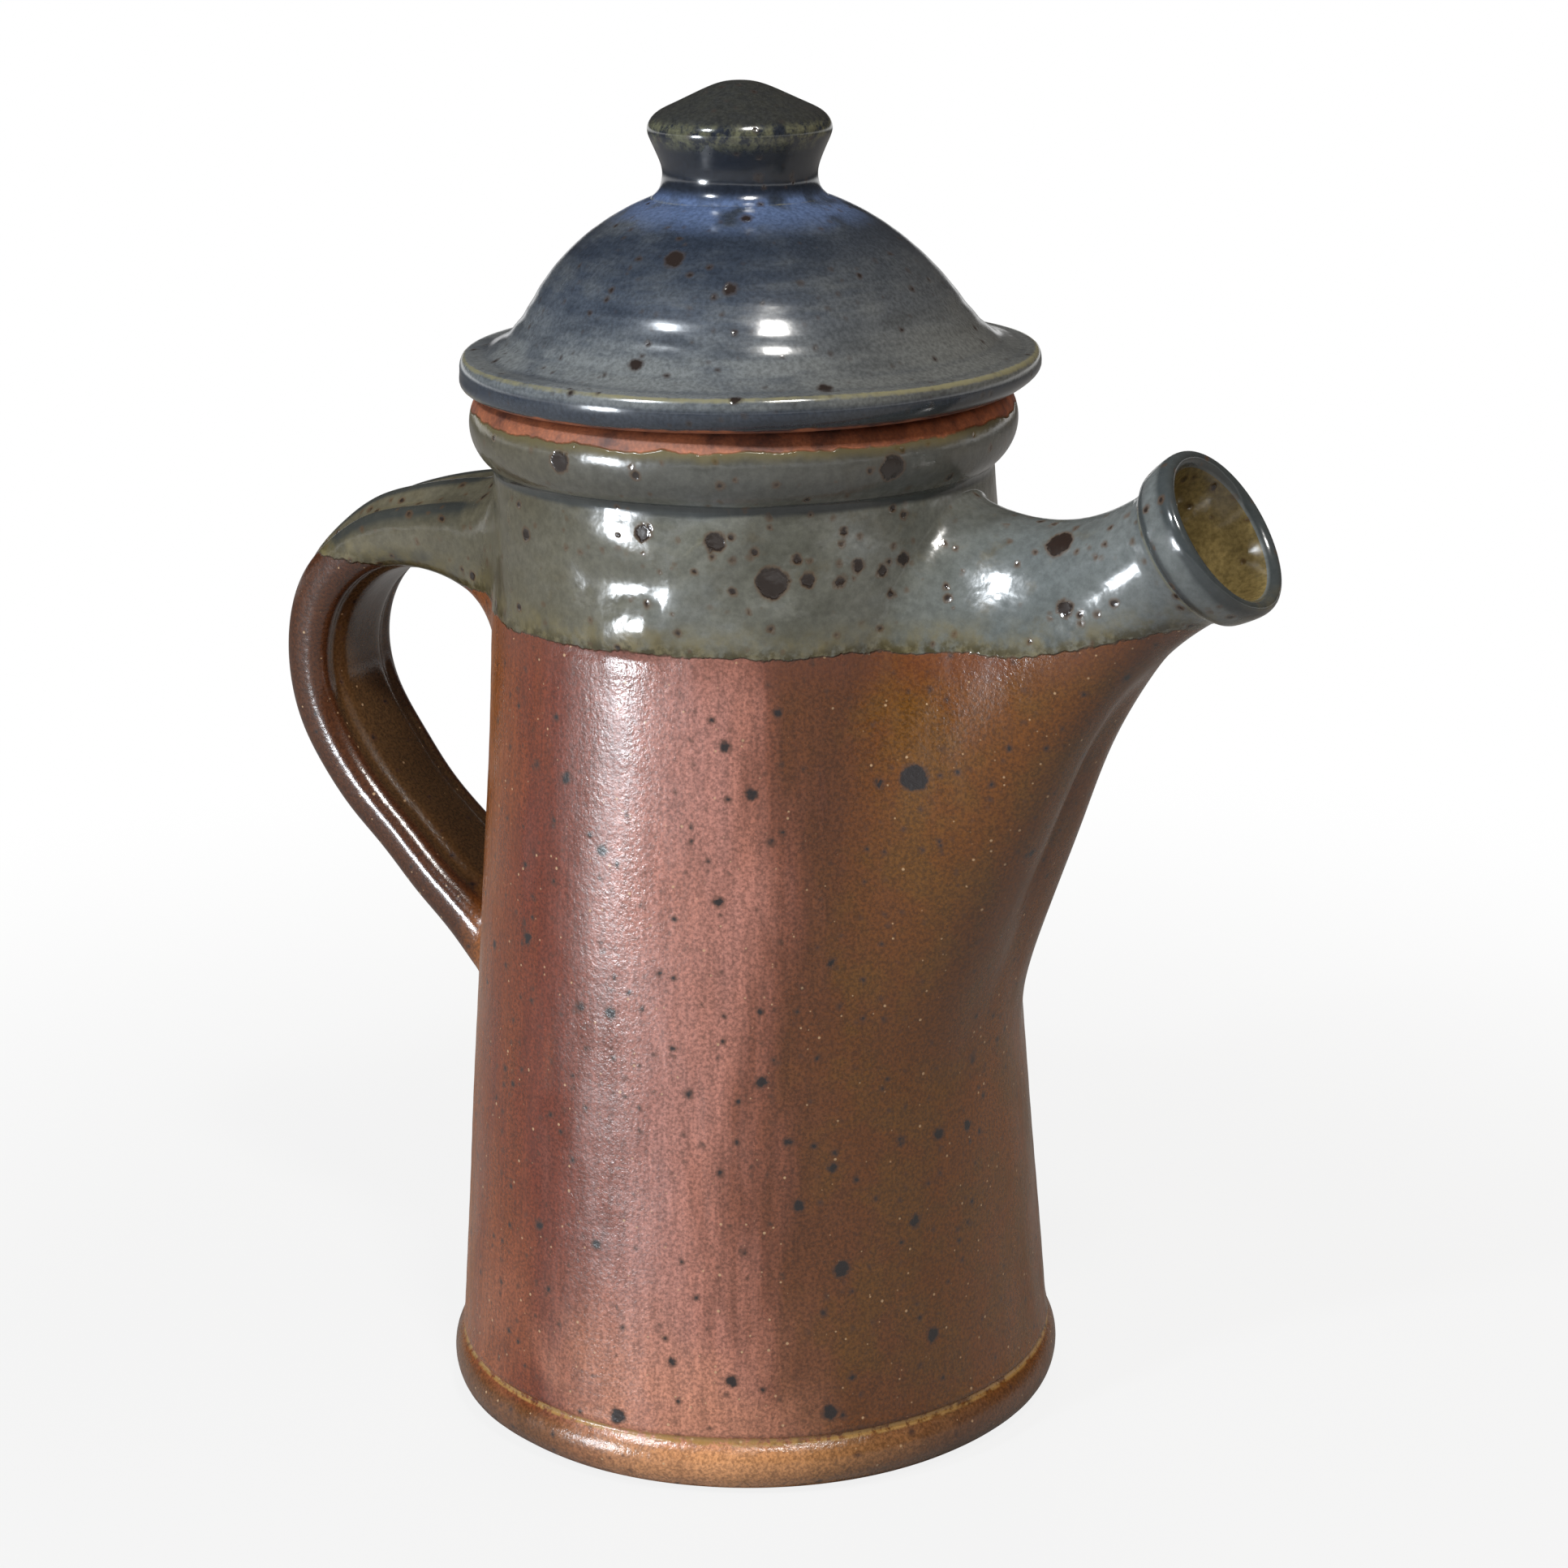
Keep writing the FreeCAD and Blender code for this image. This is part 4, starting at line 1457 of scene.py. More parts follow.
@dataclass
class Spout:
    """Thrown spout with a rolled lip, wiped on to the wall so widely that no seam shows.

    Attributes:
        wall: The wall that it is stuck on to.
        rim_height: Height of the pot's rim, from the frame.
        overhang: Distance of the mouth's middle from the neck.
        drop: Depth of the mouth's middle below the rim.
        tilt: Angle of its axis above the horizontal, in degrees.
        throat_length: Length of the throat behind the mouth.
        throat_radius: Outer radius of the throat.
        throat_bore: Inner radius of the throat.
        root_low: Lowest point of the root on the wall.
        root_high: Highest point of the root on the wall.
        root_half_width: Half width of the root round the wall.
        bury: How deep the root ends in the wall, above and below.
        side_bury: Share of that depth at its sides.
        root_wall: Thickness of the root.
        lead: How far the throat runs straight before it spreads.
        under_lead: Share of that run on the underside.
        over: Lift and tuck of the root's edge above.
        side: Lift and tuck of the root's edge at its sides.
        under: Lift and tuck of the root's edge below.
        feather: Reach over which the root flattens on to the wall, above, beside and below.
        sink: How fast rings inside the wall sink away from its face.
        sunk: Spread and depth of the rings that close the root inside the wall.
        calm_span: Distances from the wall over which edges begin to count.
        columns: Points round each ring.
        lip: Distance out from the mouth and radius along the lip's outline.
        lip_spacing: Distance between the lip's rings.
        liner_start: Rings from the crest of the lip to the liner glaze.
        lip_uneven: Share of the unevenness on the lip.
        large_spots: Iron spots placed one by one, the others being seeded.
    """

    wall: Wall
    rim_height: float
    overhang: float = 47.7
    drop: float = 17.1
    tilt: float = 33.5
    throat_length: float = 10.0
    throat_radius: float = 12.1
    throat_bore: float = 9.0
    root_low: float = 45.0
    root_high: float = 174.2
    root_half_width: float = 41.7
    bury: float = 4.0
    side_bury: float = 0.35
    root_wall: float = 6.0
    lead: float = 20.9
    under_lead: float = 1.43
    over: Span = (3.1, 2.0)
    side: Span = (5.7, 17.2)
    under: Span = (5.5, 59.0)
    feather: tuple[float, float, float] = (5.0, 6.0, 3.6)
    sink: float = 0.02
    sunk: tuple[Span, ...] = ((1.0, 4.0), (0.8, 2.0), (0.4, 0.7))
    calm_span: Span = (3.0, 10.0)
    columns: int = 280
    outside_rings: int = 96
    inside_rings: int = 48
    lip: tuple[Span, ...] = (
        (-10.0, 12.1), (-8.4, 12.5), (-7.2, 12.95), (-6.7, 13.35), (-6.2, 14.05), (-5.0, 14.6), (-3.2, 14.95),
        (-1.6, 15.15), (-0.3, 15.1), (0.5, 14.75), (0.9, 14.1), (0.75, 13.35), (0.2, 12.75), (-0.8, 12.25),
        (-3.0, 11.4), (-6.0, 10.3), (-10.0, 9.0),
    )
    lip_spacing: float = 0.42
    liner_start: int = 4
    uneven: Wander = Wander(size=17.0, height=0.2, seed=31)
    lip_uneven: float = 0.45
    large_spots: tuple[IronSpot, ...] = (
        IronSpot(64.0, 128.0, 2.3, 52.0), IronSpot(84.0, 167.0, 2.4, 66.0), IronSpot(79.0, 158.0, 1.4, 71.0),
    )
    spot_count: int = 14
    spot_radii: Span = (0.6, 1.0)
    spot_seed: int = 73

    def axis(self) -> tuple[Array, Array, Array]:
        """Place of the spout.

        Returns:
            The mouth's middle, the direction out of the spout and its upward normal.
        """
        tilt = math.radians(self.tilt)
        out = np.array([math.cos(tilt), 0.0, math.sin(tilt)])
        up = np.array([-math.sin(tilt), 0.0, math.cos(tilt)])
        return np.array([self.wall.neck_radius + self.overhang, 0.0, self.rim_height - self.drop]), out, up

    def ring(self, turn: Array, along: Array, radius: Array) -> Array:
        """Circle about the spout's axis.

        Args:
            turn: Angles round the axis, from the top.
            along: Distance out from the mouth.
            radius: Radius of the circle.

        Returns:
            Points, one for each angle.
        """
        middle, out, up = self.axis()
        side = np.array([0.0, 1.0, 0.0])
        round_axis = up * np.cos(turn)[..., None] + side * np.sin(turn)[..., None]
        return middle + out * along + round_axis * radius

    def on_wall(self, turn: Array, spread: float, lift: Array, tuck: Array) -> Array:
        """Oval drawn on the wall.

        Args:
            turn: Angles round the oval, from the top.
            spread: How far it is widened beyond the root's edge.
            lift: How far it is lifted off the wall.
            tuck: How far it is drawn in from the root's edge.

        Returns:
            Points, one for each angle.
        """
        middle = (self.root_low + self.root_high) / 2
        half = (self.root_high - self.root_low) / 2 + spread
        height = middle + (half - tuck) * np.cos(turn)
        arm = math.radians(float(self.wall.radius(middle)))
        azimuth = 90.0 + (self.root_half_width + spread - tuck) / arm * np.sin(turn)
        return around(azimuth, self.wall.skin(azimuth, height) + lift, height)

    def tracks(self, turn: Array, bore: bool, steps: int) -> Array:
        """Lines that run from the throat down on to the wall.

        Args:
            turn: Angles round the spout.
            bore: True for the space inside.
            steps: Rings along the lines.

        Returns:
            Rings of points, from the throat to the wall.
        """
        inset = self.root_wall if bore else 0.0
        top, below = np.cos(turn) > 0.0, np.cos(turn) ** 4
        lift = self.side[0] + np.where(top, self.over[0] - self.side[0], self.under[0] - self.side[0]) * below
        tuck = self.side[1] + np.where(top, self.over[1] - self.side[1], self.under[1] - self.side[1]) * below
        start = self.ring(turn, -self.throat_length, self.throat_bore if bore else self.throat_radius)
        run = self.lead * np.where(top, 1.0, 1.0 - (1.0 - self.under_lead) * below)
        lead = start - self.axis()[1] * run[:, None]
        foot = self.on_wall(turn, -inset, lift - inset, tuck)
        depth = self.bury * (self.side_bury + (1.0 - self.side_bury) * below)
        end = self.on_wall(turn, -inset, -inset - depth, np.zeros_like(turn))
        t = np.linspace(0.0, 1.0, steps)[:, None, None]
        return start * (1 - t) ** 3 + lead * 3 * t * (1 - t) ** 2 + foot * 3 * t ** 2 * (1 - t) + end * t ** 3

    def flattened(self, rings: Array, turn: Array) -> Array:
        """Rings eased down so that they meet the wall without a crease.

        Args:
            rings: Rings of the plain spout.
            turn: Angles round the rings.

        Returns:
            The eased rings.
        """
        ends = np.where(np.cos(turn) > 0.0, self.feather[0], self.feather[2])
        feather = self.feather[1] + (ends - self.feather[1]) * np.cos(turn) ** 2
        azimuth, height = azimuth_of(rings), rings[..., 2]
        wall = self.wall.skin(azimuth, height)
        rise = reach_of(rings) - wall
        eased = np.where(rise > 0.0, rise * (1.0 - np.exp(-np.abs(rise) / feather)), rise * np.abs(rise) * self.sink)
        eased = eased + self.uneven.at(rings) * smooth_rise(rise, 1.0, 14.0)
        return around(azimuth, wall + eased, height)

    def build(self) -> Piece:
        """Makes the mesh, outside and inside in one loop of rings.

        Returns:
            The spout.
        """
        turn = np.linspace(0.0, math.tau, self.columns, endpoint=False)
        none = np.zeros_like(turn)
        outside = self.flattened(self.tracks(turn, False, self.outside_rings), turn)[::-1]
        sunk = np.stack([self.on_wall(turn, spread, none - depth, none) for spread, depth in self.sunk])
        lip = self.lip_rows()
        rim = np.stack([self.ring(turn, along, radius) for along, radius in lip])
        rim = rim + (self.uneven.at(rim) * self.lip_uneven)[..., None] * self.axis()[1]
        inside = self.tracks(turn, True, self.inside_rings)
        rings = np.concatenate([sunk, outside, rim[1:-1], inside])
        crest_row = len(sunk) + len(outside) + int(np.argmax(lip[:, 0])) + self.liner_start
        zones = np.where(np.arange(len(rings)) < crest_row, Zone.OUTSIDE.value, Zone.INSIDE.value)
        skin = Skin(rings, zones, looped=True)
        calm = smooth_rise(self.wall.clear(rings), *self.calm_span)
        spots = self.wall.spots() + [self.wall.spot(spot) for spot in self.large_spots]
        return skin.piece("spout_thrown", 2, spots + self.small_spots(outside), calm)

    def lip_rows(self) -> Array:
        """Outline of the lip, evenly spaced and smooth.

        Returns:
            Distance out from the mouth and radius of each ring.
        """
        points = np.array(self.lip)
        length = np.linalg.norm(np.diff(points, axis=0), axis=1).sum()
        return spline(points, int(length / self.lip_spacing))

    def small_spots(self, rings: Array) -> list[Array]:
        """Small iron spots at seeded places on the outside.

        Args:
            rings: Rings of points of the outside.

        Returns:
            Middle and radius of each spot, as four numbers.
        """
        chance = np.random.default_rng(self.spot_seed)
        points = rings.reshape(-1, 3)
        places = points[chance.integers(0, len(points), self.spot_count)]
        radii = chance.uniform(*self.spot_radii, self.spot_count)
        return [np.append(place, radius) for place, radius in zip(places, radii)]

    def dressed(self, finishes: Finishes) -> Piece:
        """Builds the piece and gives it its finish."""
        return finishes.dress(self.build(), Slot.STONEWARE, Body.POT, "spout")


@dataclass
class Handle:
    """Pulled strap with ridges along it, smoothed on to the wall at both ends.

    Attributes:
        wall: The wall that it is stuck on to.
        top: Height of its upper end.
        span: Height between its ends.
        stand: How far it reaches out from the wall.
        bury: How deep its ends lie in the wall.
        crown: Run and rise of the strap from its upper end.
        shoulder: Inset from its farthest reach, and drop, of its upper bend.
        elbow_drop: Drop to its farthest reach.
        forearm: Inset, and rise over its lower end, of its lower stretch.
        width: Width of the strap.
        thickness: Thickness near the top.
        tail_thickness: Thickness near the bottom.
        groove: Depth of the grooves along its outer face.
        finger_groove: Depth of the two grooves along its inner face.
        finger_place: Place and half width of those, as shares of the half width.
        ridges: Number of ridges.
        roundness: Squareness of its section, 1 being an oval.
        flare_width: How much it widens at its upper end.
        flare_thickness: How much it thickens at its upper and lower ends.
        flare_span: Share of its length that flares.
        fillets: Radius of the clay smoothed round its upper and lower ends.
        sink: Share and limit of the depth that the ends keep inside the wall.
        calm_span: Distances from the wall over which edges begin to count.
        stations: Rings along it.
        columns: Points round each ring.
    """

    wall: Wall
    top: float = 153.0
    span: float = 79.0
    stand: float = 47.1
    bury: float = 4.0
    crown: Span = (22.0, 2.0)
    shoulder: Span = (5.0, 8.5)
    elbow_drop: float = 24.0
    forearm: Span = (15.7, 26.0)
    width: float = 25.0
    thickness: float = 12.8
    tail_thickness: float = 9.3
    groove: float = 1.15
    finger_groove: float = 1.0
    finger_place: Span = (0.62, 0.13)
    ridges: int = 3
    roundness: float = 0.72
    flare_width: float = 8.0
    flare_thickness: Span = (18.0, 6.0)
    flare_span: float = 0.3
    fillets: Span = (9.0, 4.5)
    sink: Span = (0.2, 0.8)
    calm_span: Span = (1.0, 6.0)
    stations: int = 420
    columns: int = 150
    uneven: Wander = Wander(size=15.0, height=0.22, seed=41)
    spots: tuple[IronSpot, ...] = (
        IronSpot(-82.0, 158.0, 1.6, 64.0), IronSpot(-84.0, 152.5, 1.8, 84.0), IronSpot(-86.0, 140.0, 1.0, 92.0),
    )

    def spine(self) -> Array:
        """Middle line of the strap.

        Returns:
            Points evenly spaced along it, from its upper end.
        """
        upper, lower = float(self.wall.radius(self.top)), float(self.wall.radius(self.top - self.span))
        reach, bottom = -upper - self.stand, self.top - self.span
        points = np.array([
            (self.bury - upper, 0.0, self.top),
            (-upper - self.crown[0], 0.0, self.top + self.crown[1]),
            (reach + self.shoulder[0], 0.0, self.top - self.shoulder[1]),
            (reach, 0.0, self.top - self.elbow_drop),
            (reach + self.forearm[0], 0.0, bottom + self.forearm[1]),
            (self.bury - lower, 0.0, bottom),
        ])
        return spline(points, self.stations)

    def section(self, turn: Array, share: float) -> tuple[Array, Array]:
        """Offsets of the strap's section, across it and out of its outer face.

        Args:
            turn: Angles round the section.
            share: Place along the strap, 0 at its upper end and 1 at its lower.

        Returns:
            Offsets across and offsets outward.
        """
        head = max(0.0, 1.0 - share / self.flare_span) ** 2
        tail = max(0.0, 1.0 - (1.0 - share) / self.flare_span) ** 2
        width = self.width + self.flare_width * (head + tail / 2)
        thickness = self.thickness + (self.tail_thickness - self.thickness) * share ** 2
        thickness += self.flare_thickness[0] * head + self.flare_thickness[1] * tail
        side = np.sign(np.cos(turn)) * np.abs(np.cos(turn)) ** self.roundness
        face = np.sign(np.sin(turn)) * np.abs(np.sin(turn)) ** self.roundness
        fade = 1.0 - 0.4 * head
        ridge = self.groove * fade * np.cos(math.pi * self.ridges * side) * np.abs(face) ** 0.5
        middle, half = self.finger_place
        finger_line = self.finger_groove * fade * np.exp(-((np.abs(side) - middle) / half) ** 2)
        ridge = np.where(face > 0.0, ridge, finger_line)
        return side * width / 2, face * (thickness / 2 - ridge)

    def smoothed(self, rings: Array, centres: Array, fillet: Array) -> Array:
        """Rings spread where they near the wall, like clay thumbed round a joint.

        Args:
            rings: Rings of the plain strap.
            centres: Middle of each ring.
            fillet: Radius of the smoothed clay at each ring.

        Returns:
            The spread rings.
        """
        rise = reach_of(rings) - self.wall.skin(azimuth_of(rings), rings[..., 2])
        short = fillet[:, None] - np.clip(rise, 0.0, fillet[:, None])
        spread = fillet[:, None] - np.sqrt(np.maximum(fillet[:, None] ** 2 - short ** 2, 0.0))
        offset = rings - centres[:, None, :]
        length = np.linalg.norm(offset, axis=-1)
        moved = centres[:, None, :] + offset * (1.0 + spread / length)[..., None]
        azimuth, height = azimuth_of(moved), moved[..., 2]
        kept = np.where(rise > 0.0, rise, np.maximum(rise * self.sink[0], -self.sink[1]))
        sat = around(azimuth, self.wall.skin(azimuth, height) + kept, height)
        share = smooth_rise(spread, 0.0, 0.8)[..., None]
        return moved * (1.0 - share) + sat * share

    def build(self) -> Piece:
        """Makes the mesh.

        Returns:
            The handle.
        """
        spine = self.spine()
        along = np.gradient(spine, axis=0)
        along /= np.linalg.norm(along, axis=1)[:, None]
        side = np.array([0.0, 1.0, 0.0])
        outward = np.cross(side, along)
        turn = np.linspace(0.0, math.tau, self.columns, endpoint=False)
        rings = []
        for i, centre in enumerate(spine):
            across, out = self.section(turn, i / (self.stations - 1))
            rings.append(centre + np.outer(across, side) + np.outer(out, outward[i]))
        rings = np.array(rings)
        rings = rings + self.uneven.at(rings)[..., None] * outward[:, None, :]
        share = np.linspace(0.0, 1.0, self.stations)
        fillet = np.where(share < 0.5, self.fillets[0], self.fillets[1])
        rings = self.smoothed(rings, spine, fillet)
        zones = np.full(self.stations, Zone.OUTSIDE.value)
        skin = Skin(rings, zones, ends=(spine[0], spine[-1]))
        calm = smooth_rise(self.wall.clear(rings), *self.calm_span)
        return skin.piece("handle_pulled", 3, [self.wall.spot(spot) for spot in self.spots], calm)

    def dressed(self, finishes: Finishes) -> Piece:
        """Builds the piece and gives it its finish."""
        return finishes.dress(self.build(), Slot.STONEWARE, Body.POT, "handle")


@dataclass
class Lid:
    """Thrown lid: locating skirt, wiped seat, rolled flange and dome.

    Attributes:
        seat_height: Height of the rim that it sits on, from the frame.
        flange_radius: Largest radius of the flange, from the frame.
        skirt_radius: Outer radius of the skirt.
        skirt_depth: Depth of the skirt below the rim.
        skirt_thickness: Thickness of the skirt.
        seat_radius: Outer radius of the seat.
        edge_tuck: How far the flange's upper edge is set in.
        edge_rise: Height of that edge over the rim.
        foot_radius: Radius of the dome's foot.
        foot_rise: Height of the dome's foot over the rim.
        dome_rise: Height of the dome over its foot.
        thickness: Thickness of the dome.
        columns: Points round each ring.
        flange_rings: Extra height of throwing rings on the flange.
        flange_span: Radii over which that comes in.
        knob_span: Radii over which rings come in round the knob.
        seat_span: Heights over the rim over which unevenness comes in.
        drift: How far the flange was thrown off the skirt's middle.
        drift_azimuth: Azimuth that it drifted to.
        drift_span: Heights over the rim over which the drift comes in.
        lean: Share of the drift that is lost up to the top.
        lean_span: Heights over the rim over which it is lost.
    """

    seat_height: float
    flange_radius: float
    skirt_radius: float = 39.2
    skirt_depth: float = 14.0
    skirt_thickness: float = 4.0
    seat_radius: float = 47.2
    edge_tuck: float = 0.7
    edge_rise: float = 6.4
    foot_radius: float = 40.0
    foot_rise: float = 10.5
    dome_rise: float = 25.1
    thickness: float = 5.0
    columns: int = 360
    softness: float = 0.55
    ring_pitch: float = 4.3
    ring_rise: float = 0.012
    flange_rings: float = 0.05
    flange_span: Span = (33.0, 41.0)
    knob_span: Span = (14.0, 22.0)
    seat_span: Span = (0.5, 4.0)
    drift: float = 1.2
    drift_azimuth: float = 121.5
    drift_span: Span = (0.3, 4.0)
    lean: float = 1.1
    lean_span: Span = (7.0, 32.0)
    uneven: Wander = Wander(size=24.0, height=0.14, seed=51)
    spots: tuple[IronSpot, ...] = (
        IronSpot(8.0, 213.0, 1.6, 28.0), IronSpot(28.0, 209.0, 1.0, 32.5), IronSpot(48.0, 195.0, 1.3, 47.0),
        IronSpot(6.0, 197.5, 1.1, 41.0), IronSpot(30.0, 193.8, 0.9, 50.0), IronSpot(34.0, 218.5, 0.9, 19.0),
    )

    def drifted(self, points: Array) -> Array:
        """Points moved as the flange and the dome are, which were thrown a little off the skirt's middle.

        Args:
            points: Points of a lid thrown true.

        Returns:
            The moved points.
        """
        rise = points[..., 2] - self.seat_height
        share = smooth_rise(rise, *self.drift_span) * (1.0 - self.lean * smooth_rise(rise, *self.lean_span))
        return points + share[..., None] * around(self.drift_azimuth, self.drift, 0.0)

    def ball(self) -> tuple[float, float]:
        """Radius of the dome's ball and the height of its middle."""
        radius = (self.foot_radius ** 2 + self.dome_rise ** 2) / (2 * self.dome_rise)
        return radius, self.seat_height + self.foot_rise + self.dome_rise - radius

    def on_dome(self, radius: float, reach: float) -> tuple[float, float]:
        """Reach and height of a point of the dome, or of a ball inside it."""
        return reach, self.ball()[1] + math.sqrt(radius ** 2 - reach ** 2)

    def rows(self) -> tuple[Array, Array]:
        """Outline of the turned lid, from inside the dome to its top.

        Returns:
            Radius and height of each row, and the zone of each row.
        """
        seat, ball = self.seat_height + 0.1, self.ball()[0]
        bore, hollow = self.skirt_radius - self.skirt_thickness, ball - self.thickness
        skirt_foot = self.seat_height - self.skirt_depth
        edge = (self.flange_radius - self.edge_tuck, self.seat_height + self.edge_rise)
        foot = (self.foot_radius, self.seat_height + self.foot_rise)
        inner = np.array([self.on_dome(hollow, reach) for reach in np.linspace(0.0, bore, 40)])
        spring = self.on_dome(ball, foot[0] - 2.4)
        outer = np.array([self.on_dome(ball, reach) for reach in np.linspace(spring[0], 0.0, 90)])
        top = spline(np.array([edge, (edge[0] - 4.0, edge[1] + 0.45), (foot[0] + 2.6, foot[1] - 1.6), spring]), 60)
        return outline([
            Run(inner, 3.0, Zone.INSIDE),
            Run(path(tuple(inner[-1]), (bore, skirt_foot + 0.8)), 2.5, Zone.INSIDE),
            Run(path((bore, skirt_foot + 0.8), (bore + 0.9, skirt_foot), (self.skirt_radius - 1.2, skirt_foot),
                     (self.skirt_radius, skirt_foot + 1.2)), 0.8),
            Run(path((self.skirt_radius, skirt_foot + 1.2), (self.skirt_radius, seat)), 1.6),
            Run(path((self.skirt_radius, seat), (self.seat_radius, seat)), 1.0),
            Run(arc((self.seat_radius, seat), (self.flange_radius, self.seat_height + 4.5), edge), 0.55),
            Run(top, 0.6),
            Run(outer, 0.85),
        ], self.softness)

    def build(self) -> Piece:
        """Makes the mesh.

        Returns:
            The lid without its knob.
        """
        rows, zones = self.rows()
        normals = outline_normals(rows)
        azimuth = np.linspace(-180.0, 180.0, self.columns, endpoint=False)
        radius, height = rows[1:-1, :1], rows[1:-1, 1:]
        plain = around(azimuth, radius, height)
        run = np.cumsum(np.linalg.norm(np.diff(rows, axis=0), axis=1))[:-1, None]
        rings = np.sin(math.tau * (run / self.ring_pitch + azimuth / 360.0))
        rings = rings * (self.ring_rise + self.flange_rings * smooth_rise(radius, *self.flange_span))
        outside = (zones[1:-1] == Zone.OUTSIDE.value)[:, None]
        free = smooth_rise(height - self.seat_height, *self.seat_span) * outside
        swell = (self.uneven.at(plain) + rings * smooth_rise(radius, *self.knob_span)) * free
        points = around(azimuth, radius + swell * normals[1:-1, :1], height + swell * normals[1:-1, 1:])
        ends = self.drifted(np.array([[0.0, 0.0, rows[0, 1]], [0.0, 0.0, rows[-1, 1]]]))
        skin = Skin(self.drifted(points), zones[1:-1], ends=(ends[0], ends[1]))
        return skin.piece("lid_thrown", 2, [spot.at(spot.reach) for spot in self.spots])

    def dressed(self, finishes: Finishes) -> Piece:
        """Builds the piece and gives it its finish."""
        return finishes.dress(self.build(), Slot.ASH, Body.LID, "lid")


@dataclass
class LidKnob:
    """Knob thrown on to the dome: waisted neck, rounded band and a low cone on top.

    Attributes:
        lid: The lid that it stands on.
        top_height: Height of its top, from the frame.
        band_radius: Largest radius, from the frame.
        neck_radius: Radius of the waist.
        foot_radius: Radius at which it meets the dome.
        band_drop: Depth of its largest radius below its top.
        columns: Points round each ring.
    """

    lid: Lid
    top_height: float
    band_radius: float
    neck_radius: float = 13.5
    foot_radius: float = 14.9
    band_drop: float = 8.0
    columns: int = 240
    softness: float = 0.4
    uneven: Wander = Wander(size=12.0, height=0.12, seed=61)

    def rows(self) -> tuple[Array, Array]:
        """Outline of the turned knob, from under the dome to its top.

        Returns:
            Radius and height of each row, and the zone of each row.
        """
        ball = self.lid.ball()[0]
        foot = self.lid.on_dome(ball, self.foot_radius)
        under = self.lid.on_dome(ball - 2.0, self.foot_radius + 0.5)
        band = self.top_height - self.band_drop
        seam = (foot[0] + 0.8, foot[1] - 0.55)
        side = spline(np.array([
            seam, (foot[0] - 0.5, foot[1] + 0.55), (self.neck_radius, foot[1] + 3.4),
            (self.neck_radius + 0.75, foot[1] + 6.6), (self.band_radius - 0.5, band - 1.9), (self.band_radius, band),
            (self.band_radius - 0.85, band + 1.9), (self.band_radius - 4.2, band + 4.0), (6.4, self.top_height - 1.5),
            (2.6, self.top_height - 0.2), (0.0, self.top_height),
        ]), 160)
        return outline([
            Run(path((0.0, under[1]), under), 3.0),
            Run(path(under, seam), 1.0),
            Run(side, 0.5),
        ], self.softness)

    def build(self) -> Piece:
        """Makes the mesh.

        Returns:
            The knob.
        """
        rows, zones = self.rows()
        azimuth = np.linspace(-180.0, 180.0, self.columns, endpoint=False)
        plain = around(azimuth, rows[1:-1, :1], rows[1:-1, 1:])
        free = smooth_rise(rows[1:-1, 1:], rows[:, 1].min() + 4.0, rows[:, 1].min() + 8.0)
        swell = self.uneven.at(plain) * free * smooth_rise(rows[1:-1, :1], 0.0, 6.0)
        points = around(azimuth, rows[1:-1, :1] + swell, rows[1:-1, 1:])
        ends = self.lid.drifted(np.array([[0.0, 0.0, rows[0, 1]], [0.0, 0.0, rows[-1, 1]]]))
        skin = Skin(self.lid.drifted(points), zones[1:-1], ends=(ends[0], ends[1]))
        return skin.piece("lid_knob_thrown", 3, [])

    def dressed(self, finishes: Finishes) -> Piece:
        """Builds the piece and gives it its finish."""
        return finishes.dress(self.build(), Slot.ASH, Body.LID, "lid_knob")


@dataclass(frozen=True)
class Lamp:
    """Square studio lamp aimed at the pot.

    Attributes:
        name: Its name.
        azimuth: Azimuth that it stands at.
        elevation: Its angle above the pot's shoulder, in degrees.
        level: Light on a surface that faces it, 1 being a plain level.
        colour: Colour of its light.
        size: Width of its face in metres.
        distance: Distance from the pot in metres.
        mirrored: Whether shiny surfaces show it.
    """

    name: str
    azimuth: float
    elevation: float
    level: float
    colour: Colour
    size: float = 0.25
    distance: float = 1.2
    mirrored: bool = True

    def place(self, aim: Vector) -> None:
        """Adds the lamp.

        Args:
            aim: Point that it faces, in metres.
        """
        data = bpy.data.lights.new(self.name, "AREA")
        data.shape, data.size = "SQUARE", self.size
        data.energy = self.level * (math.pi * self.distance) ** 2
        data.color = self.colour
        turn, rise = math.radians(self.azimuth), math.radians(self.elevation)
        way = Vector((math.sin(turn) * math.cos(rise), -math.cos(turn) * math.cos(rise), math.sin(rise)))
        lamp = bpy.data.objects.new(self.name, data)
        lamp.location = aim + way * self.distance
        lamp.visible_glossy = self.mirrored
        lamp.rotation_euler = way.to_track_quat("Z", "Y").to_euler()
        bpy.context.scene.collection.objects.link(lamp)


